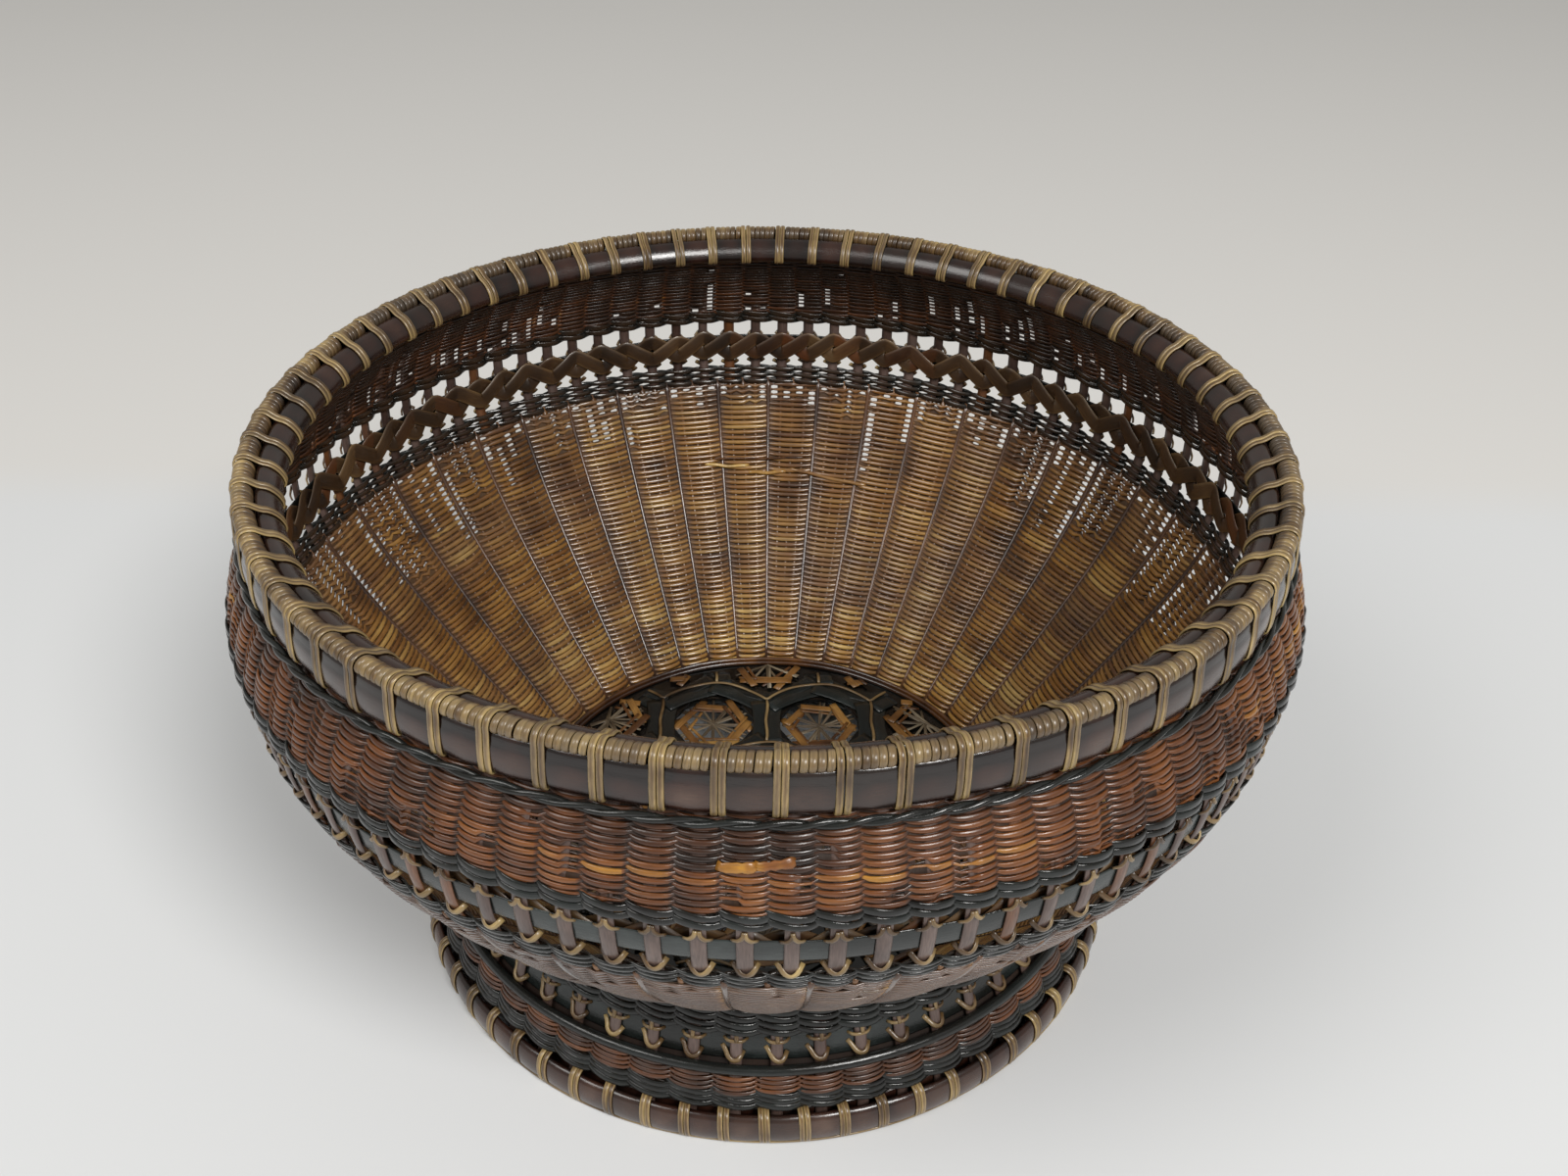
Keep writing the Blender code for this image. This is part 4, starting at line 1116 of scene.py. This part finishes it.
class BASKET_OT_rim_binding(bpy.types.Operator):
    """Winds the tan wraps over the rim's top cane and the paired lashings over both hoops."""

    bl_idname = "basket.rim_binding"
    bl_label = "Rim Binding"

    TOP_CANE_RADIUS = 191.2 * MM
    LASHING_GAP = 0.25 * MM
    WRAP_LINE = [(188.6, 226.4), (187.7, 228.4), (188.2, 230.4), (189.6, 231.8), (191.6, 232.35),
                 (193.5, 231.7), (194.6, 230.1), (194.5, 228.6), (193.6, 227.6)]
    LASHING_LINE = [(191.6, 212.2), (193.6, 211.9), (195.6, 212.8), (195.95, 216.0), (195.9, 220.0),
                    (195.5, 224.5), (195.1, 227.6), (195.2, 229.9), (194.1, 231.9), (191.8, 232.75),
                    (189.4, 232.2), (187.6, 230.8), (185.6, 229.4), (182.7, 228.5), (180.2, 226.2),
                    (178.5, 223.2), (178.1, 220.2), (179.8, 218.8), (182.0, 218.7)]

    def execute(self, context):
        sizes = context.scene.basket_sizes
        rng = np.random.default_rng(16)
        strands = Strands()
        pitch = TURN / RIM_LASHINGS
        step = pitch / (WRAPS_BETWEEN + 2)
        lashings = FIRST_RIM_LASHING + np.arange(RIM_LASHINGS) * pitch

        wrap_line = smooth(np.array(self.WRAP_LINE[::-1]) * MM)
        wraps = (lashings[:, None] + (np.arange(WRAPS_BETWEEN) + 1.5) * step).ravel()
        wraps = wraps + rng.normal(0, 0.0006, len(wraps))
        path, out = lay_over(wrap_line, wraps, lean=0.006)
        wear_and_shade = drift(rng, 9, RIM_LASHINGS, 4)[0].repeat(WRAPS_BETWEEN)[:, None]
        # The wraps are painted darker on their inner side, for dirt and painted shade, and a little lighter on
        # top, a painted highlight
        dirt_and_painted_light = np.interp(wrap_line[:, 0] / MM, [187.7, 190.0, 191.3, 194.6], [-0.42, -0.25, 0.08, 0.0])
        strands.add(path, out, step * self.TOP_CANE_RADIUS / 2 * 0.98, STRAND_HALF, CROWNED,
                    0.55 + dirt_and_painted_light + 0.07 * wear_and_shade + rng.normal(0, 0.1, (len(wraps), 1)), shade=EDGE_PAINTED_LIGHT * 0.3,
                    bloom=np.clip(0.25 - 0.2 * wear_and_shade + rng.normal(0, 0.12, (len(wraps), 1)), 0, 0.8))

        lashing_line = smooth(np.array(self.LASHING_LINE) * MM)
        for side in (-0.5, 0.5):
            placed = lashings + side * (sizes.lashing_width + self.LASHING_GAP) / self.TOP_CANE_RADIUS
            path, out = lay_over(lashing_line, placed + rng.normal(0, 0.0005, RIM_LASHINGS), lean=0.004)
            # Each lashing is painted darker where it passes into the crease under the wraps, as painted shade,
            # and lighter towards its lower end
            wear_and_shade = np.interp(lashing_line[:, 1], np.array([212, 219, 226, 229, 233]) * MM,
                             [0.1, 0.05, -0.15, -0.1, 0])
            strands.add(path, out, sizes.lashing_width / 2, STRAND_HALF, CROWNED,
                        0.66 + wear_and_shade[None, :] + rng.normal(0, 0.08, (RIM_LASHINGS, 1)), shade=EDGE_PAINTED_LIGHT,
                        bloom=np.clip(rng.normal(0.12, 0.12, (RIM_LASHINGS, 1)), 0, 0.6))
        strands.make("rim_wraps_and_lashings", tan_cane(), "tan_cane", "rim_binding")
        return {"FINISHED"}


class BASKET_OT_floor(bpy.types.Operator):
    """Plaits the black honeycomb floor, its tan border canes and the ring that covers its edge."""

    bl_idname = "basket.floor"
    bl_label = "Plaited Floor"

    EDGE = 104.0 * MM
    CLIP = 101.0 * MM
    CANE_HEIGHT = FLOOR_TOP + 2.1 * MM
    # Radius and height in millimetres and tint of each cane over the joint with the cone
    RING = ((106.2, 34.3, 0.1), (104.6, 33.1, 0.02), (106.4, 31.3, 0.1))

    def execute(self, context):
        rng = np.random.default_rng(17)
        keep("floor_plait", black_cane())
        self.add_strips(rng)
        self.add_canes(rng)
        self.add_ring()
        return {"FINISHED"}

    def add_strips(self, rng):
        """Lays bowed strips along each cell's six sides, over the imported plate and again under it."""
        strands = Strands()
        line = np.linspace(-1, 1, 11)
        for cell in cells():
            for side in range(6):
                bowed = 21.3 * MM + 1.8 * MM * (1 - line ** 2)
                x, y = spun(bowed, line * 15.5 * MM, math.radians(60 * side), cell)
                path = np.stack([x, y, FLOOR_TOP + 0.75 * MM + 0.55 * MM * line], -1)
                for run in inside_runs(x, y, self.CLIP):
                    for level in (path[run], path[run] * (1, 1, -1) + (0, 0, 2 * FLOOR_TOP - 1.8 * MM)):
                        strands.add(level, UPWARD, 4.0 * MM, 0.3 * MM, CROWNED, 0.5 + rng.normal(0, 0.12))
        strands.make("floor_plaited_strips", black_cane(), "black_cane")

    def add_canes(self, rng):
        strands = Strands()
        for cx, cy in cells():
            for side in (-1, 1):
                y = np.linspace(cy - 15 * MM, cy + 15 * MM, 9)
                x = np.full(9, cx + side * CELL_PITCH / 2) + 0.4 * MM * np.sin(y * 300)
                if side > 0 or cx < -50 * MM:
                    lay_flat(strands, x, y, self.CANE_HEIGHT, self.CLIP, 0.75, 0.5, ROUND_EIGHT, 0.55, 0.1, rng)
        for number in range(-3, 3):
            middle = CELL_ORIGIN[1] + (number + 0.5) * CELL_ROW
            x = np.linspace(-self.EDGE, self.EDGE, 150)
            shift = (number % 2 - 1) * CELL_PITCH / 2
            y = middle + 13 * MM * np.abs(np.sin(math.pi * (x - shift) / CELL_PITCH)) ** 0.8 - 6.5 * MM
            z = self.CANE_HEIGHT - 0.3 * MM + 0.35 * MM * np.sin(x * 220)
            lay_flat(strands, x, y, z, self.CLIP, 0.7, 0.45, ROUND_EIGHT, 0.45, 0.1, rng)
        strands.make("floor_border_canes", tan_cane(), "tan_cane")

    def add_ring(self):
        strands = Strands()
        angle = steps_round(300)
        for radius, height, tint in self.RING:
            level = height * MM + 0.2 * MM * np.sin(angle * 11)
            strands.add(turn(angle, radius * MM, level), turn(angle, -0.6, 0.8), 1.1 * MM, 0.8 * MM, CROWNED,
                        tint + 0.08 * np.sin(angle * 5), closed=True)
        strands.make("floor_edge_canes", gold_wicker(), "tan_cane", "floor_ring")


class BASKET_OT_rosettes(bpy.types.Operator):
    """Lays six orange strips and a burst of fine splints in each cell of the floor."""

    bl_idname = "basket.rosettes"
    bl_label = "Rosettes"

    CLIP = 102.0 * MM
    RAYS = 12
    RAY_REACH = 18.0 * MM
    OPEN_CELL_HEIGHT = 30.0 * MM

    def execute(self, context):
        rng = np.random.default_rng(18)
        names = [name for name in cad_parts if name.startswith("floor_rosette")]
        orange, silver = Strands(), Strands()
        whole = [sum(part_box(name), Vector()) / 2 for name in names]
        for cell in cells():
            # A rosette hangs in its opening, and one at the edge, where the plate has none, lies on the plate
            open_below = any(math.hypot(cell[0] - w.x, cell[1] - w.y) < 5 * MM for w in whole)
            base = self.OPEN_CELL_HEIGHT if open_below else FLOOR_TOP + 0.8 * MM
            turned_by = rng.normal(0, 0.05)
            line = np.linspace(-1, 1, 9)
            for side in range(12):
                # Six broad strips, and a frayed narrower one beside each
                narrow = side % 2
                angle = math.radians(60 * (side // 2) + 30) + turned_by + narrow * rng.normal(0, 0.09)
                reach = (rng.uniform(9.6, 11.2) if narrow else rng.uniform(13.0, 14.6)) * MM
                x, y = spun(reach, line * rng.uniform(8.5, 13.5) * MM, angle, cell)
                z = base + 0.9 * MM + 0.7 * MM * line - 0.3 * MM * narrow
                lay_flat(orange, x, y, z, self.CLIP, 0.8 if narrow else 1.9, 0.3, CROWNED,
                         0.42 if narrow else 0.6, 0.16, rng)
            line = np.linspace(-1, 1, 5)
            for ray in range(self.RAYS):
                angle = math.radians(30 * ray) + rng.normal(0, 0.06)
                x = cell[0] + line * self.RAY_REACH * math.cos(angle) + rng.normal(0, 0.5 * MM)
                y = cell[1] + line * self.RAY_REACH * math.sin(angle) + rng.normal(0, 0.5 * MM)
                z = base + 0.1 * MM + 0.07 * MM * ray
                lay_flat(silver, x, y, z, self.CLIP, 0.65, 0.2, CROWNED, 0.5, 0.2, rng)
        orange.make("rosette_strips", orange_cane(), "orange_cane", *names)
        silver.make("rosette_rays", silver_cane(), "orange_cane")
        return {"FINISHED"}


class BASKET_OT_foot_rows(bpy.types.Operator):
    """Weaves and twines the rows of the flared foot, its band, its cane and its golden ties."""

    bl_idname = "basket.foot_rows"
    bl_label = "Foot Rows"

    MID = 2.5 * MM
    BROWN_LOW, BROWN_HIGH, BROWN_ROWS = 22.6 * MM, 30.4 * MM, 9
    CANE_HEIGHT, BAND_HEIGHT = 32.9 * MM, 39.9 * MM
    # Each black piece with its node and the heights of its rows in millimetres
    TWININGS = (("foot_lower_twining", "foot_lower_rows", (17.0, 19.4, 21.6)),
                ("foot_upper_twining", "foot_upper_rows", (47.2, 49.9, 52.6, 55.2)))
    # Offset beside the stake, height and depth along each tie: a hook at its foot, a crossbar, a stub above it
    HOOK = [(-4.8, 39.6, 4.0), (-3.4, 38.0, 3.3), (-2.2, 36.7, 1.6), (-0.8, 35.7, 1.2), (0.6, 35.5, 1.2),
            (2.0, 36.1, 1.5), (3.4, 37.7, 3.8)]
    CROSSBAR = [(-4.6, 42.6, 4.0), (-2.8, 43.1, 1.7), (0.0, 43.2, 1.3), (2.8, 43.0, 1.7), (4.6, 42.5, 4.0)]
    STUB = [(0.2, 43.1, 0.9), (0.1, 44.9, 1.1), (0.0, 46.4, 1.5)]

    def execute(self, context):
        rng = np.random.default_rng(19)
        brown = Strands()
        heights = np.linspace(self.BROWN_LOW, self.BROWN_HIGH, self.BROWN_ROWS)
        row_tint = 0.3 + rng.normal(0, 0.1, self.BROWN_ROWS + 1)
        weave(brown, FOOT, heights, FOOT_STAKES, FIRST_FOOT_STAKE, lambda h: self.MID, lambda h: 1.9 * MM, 0.88,
              0.9 * MM, rng,
              lambda row, column, height, side: (row_tint[row] + 0.08 * np.sin(column * 0.9), 0.2))
        brown.make("foot_brown_weavers", red_wicker(), "red_wicker", "foot_brown_rows")

        for name, node, rows in self.TWININGS:
            twined = Strands()
            for height in rows:
                twine(twined, FOOT, height * MM, FOOT_STAKES, FIRST_FOOT_STAKE, self.MID, 1.6 * MM, 0.7 * MM,
                      2.7 * MM, 1.1 * MM, 0.3, rng)
            twined.make(name, black_cane(), "black_cane", node)

        black = Strands()
        angle = steps_round(330)
        level = self.CANE_HEIGHT + 0.2 * MM * np.sin(angle * 9)
        black.lay(FOOT, angle, level, 0.4 * MM, 2.2 * MM, 2.1 * MM, ROUND_EIGHT,
                  0.45 + 0.1 * np.sin(angle * 6), closed=True)
        black.make("foot_round_cane", black_cane(), "black_cane", "foot_cane")
        band = Strands()
        level = np.full(330, self.BAND_HEIGHT)
        # The band's inner face is painted dark, as painted shade inside the foot
        band.lay(FOOT, angle, level, 4.3 * MM, 6.4 * MM, 0.35 * MM, STRIP, 0.6 + 0.1 * np.sin(angle * 8),
                 closed=True, shade=INNER_PAINTED_SHADE)
        band.make("foot_flat_band", black_cane(), "black_cane", "foot_band")
        # A dark sheet inside the foot is painted shade behind its weave
        add_shell("foot_shade_sheet", FOOT, steps_round(220), np.linspace(15.5 * MM, 56.0 * MM, 12), 5.0 * MM,
                  np.zeros((11, 220), bool), 0.3, "mauve_cane")

        stakes = Strands()
        angles = (steps_round(FOOT_STAKES, FIRST_FOOT_STAKE) + rng.normal(0, 0.002, FOOT_STAKES))[:, None]
        levels = np.linspace(1.0 * MM, 55.5 * MM, 14)[None, :]
        depth = np.interp(levels, [14 * MM, 18 * MM], [5.6 * MM, 2.7 * MM])
        stakes.lay(FOOT, angles, levels, depth, 2.4 * MM, 0.75 * MM, CROWNED,
                   0.8 + rng.normal(0, 0.1, (FOOT_STAKES, 1)))
        stakes.make("foot_stake_canes", mauve_cane(), "mauve_cane", "foot_stakes")
        ties = Strands()
        # Each tie is painted lighter on its left, as a painted highlight
        for line, wide in ((self.HOOK, 0.95), (self.CROSSBAR, 0.7), (self.STUB, 0.8)):
            tie_stakes(ties, FOOT, FOOT_STAKES, FIRST_FOOT_STAKE, FOOT_NECK_RADIUS, line, wide, (0.55, 0.36),
                       rng)
        ties.make("foot_ties", tan_cane(), "tan_cane")
        return {"FINISHED"}


class BASKET_OT_foot_hoops(bpy.types.Operator):
    """Bends the foot's two hoops and lashes them with paired tan strands."""

    bl_idname = "basket.foot_hoops"
    bl_label = "Foot Hoops"

    # Section corners: radius and height in millimetres, and a tint that paints light and shade round the
    # section. The outer hoop's face is painted paler than its edges, as a painted reflection, and the inner
    # hoop is painted lighter over its rounded top.
    OUTER = [(149.4, 0.3, 0.2), (151.8, 0.0, 0.3), (153.2, 2.2, 0.55), (153.7, 7.0, 0.68), (153.0, 11.6, 0.6),
             (151.4, 14.0, 0.3), (149.4, 14.0, 0.2)]
    INNER = [(146.1, 0.2, 0.3), (146.1, 11.3, 0.3), (143.8, 11.5, 0.5), (141.9, 9.5, 0.5), (141.6, 5.5, 0.4),
             (142.0, 1.6, 0.4), (143.6, 0.0, 0.3)]
    EDGING_RADIUS, EDGING_HEIGHT = 152.75 * MM, 1.2 * MM
    LASHING_GAP = 2.2 * MM
    LASHING_LINE = [(146.5, 14.3), (148.6, 15.4), (150.6, 15.2), (152.8, 13.8), (154.0, 10.5), (154.3, 7.0),
                    (154.0, 3.4), (153.0, 0.9), (151.0, 0.45), (149.0, 0.45), (147.0, 0.5)]

    def execute(self, context):
        sizes = context.scene.basket_sizes
        rng = np.random.default_rng(20)
        for name, node, corners, bulge in (("foot_outer_cane", "foot_outer_hoop", self.OUTER, 0.4 * MM),
                                           ("foot_inner_cane", "foot_inner_hoop", self.INNER, -0.2 * MM)):
            bend_hoop(name, node, corners, rng, bulge, FOOT_LASHINGS, FIRST_FOOT_LASHING)
        # A thin golden strand shows along the outer hoop's lower edge
        edging = Strands()
        angle = steps_round(7 * FOOT_LASHINGS)
        edging.add(turn(angle, self.EDGING_RADIUS + 0.15 * MM * np.sin(angle * 8), self.EDGING_HEIGHT),
                   turn(angle, 1.0, 0.0), 0.6 * MM, 0.6 * MM, ROUND_SIX, 0.62 + 0.1 * np.sin(angle * 7),
                   closed=True)
        edging.make("foot_lower_edging", tan_cane(), "tan_cane")
        lashings = Strands()
        line = smooth(np.array(self.LASHING_LINE)[::-1] * MM)
        placed = FIRST_FOOT_LASHING + np.arange(FOOT_LASHINGS) * (TURN / FOOT_LASHINGS)
        for side in (-0.5, 0.5):
            angles = placed + side * self.LASHING_GAP / foot_radius(0) + rng.normal(0, 0.0008, FOOT_LASHINGS)
            path, out = lay_over(line, angles, lean=-0.008)
            # Each strand's edges are painted lighter than its middle, as painted highlight and shade
            lashings.add(path, out, sizes.lashing_width / 2, STRAND_HALF, CROWNED,
                         0.55 + rng.normal(0, 0.1, (FOOT_LASHINGS, 1)), shade=EDGE_PAINTED_LIGHT)
        lashings.make("foot_lashings", tan_cane(), "tan_cane", "foot_binding")
        return {"FINISHED"}


class BASKET_PT_pieces(bpy.types.Panel):
    """Lists the bowl's pieces and settings in the sidebar."""

    bl_idname = "BASKET_PT_pieces"
    bl_label = "Basket Bowl"
    bl_space_type = "VIEW_3D"
    bl_region_type = "UI"
    bl_category = "Basket Bowl"

    def draw(self, context):
        for group in (context.scene.basket_sizes, context.scene.basket_colours):
            column = self.layout.column()
            for name in group.bl_rna.properties.keys():
                if name not in ("rna_type", "name"):
                    column.prop(group, name)
        for piece in PIECES:
            self.layout.operator(piece.bl_idname)


PIECES = (BASKET_OT_stage, BASKET_OT_rim_hoops, BASKET_OT_rim_binding, BASKET_OT_upper_wall, BASKET_OT_twining,
          BASKET_OT_stakes, BASKET_OT_openwork, BASKET_OT_cone, BASKET_OT_floor, BASKET_OT_rosettes,
          BASKET_OT_foot_rows, BASKET_OT_foot_hoops)
CLASSES = (BasketSizes, BasketColours, *PIECES, BASKET_PT_pieces)


def register():
    for made in CLASSES:
        bpy.utils.register_class(made)
    bpy.types.Scene.basket_sizes = bpy.props.PointerProperty(type=BasketSizes)
    bpy.types.Scene.basket_colours = bpy.props.PointerProperty(type=BasketColours)


def unregister():
    del bpy.types.Scene.basket_colours
    del bpy.types.Scene.basket_sizes
    for made in reversed(CLASSES):
        bpy.utils.unregister_class(made)


def main():
    register()
    for piece in PIECES:
        group, name = piece.bl_idname.split(".")
        getattr(getattr(bpy.ops, group), name)()


if __name__ == "__main__":
    main()
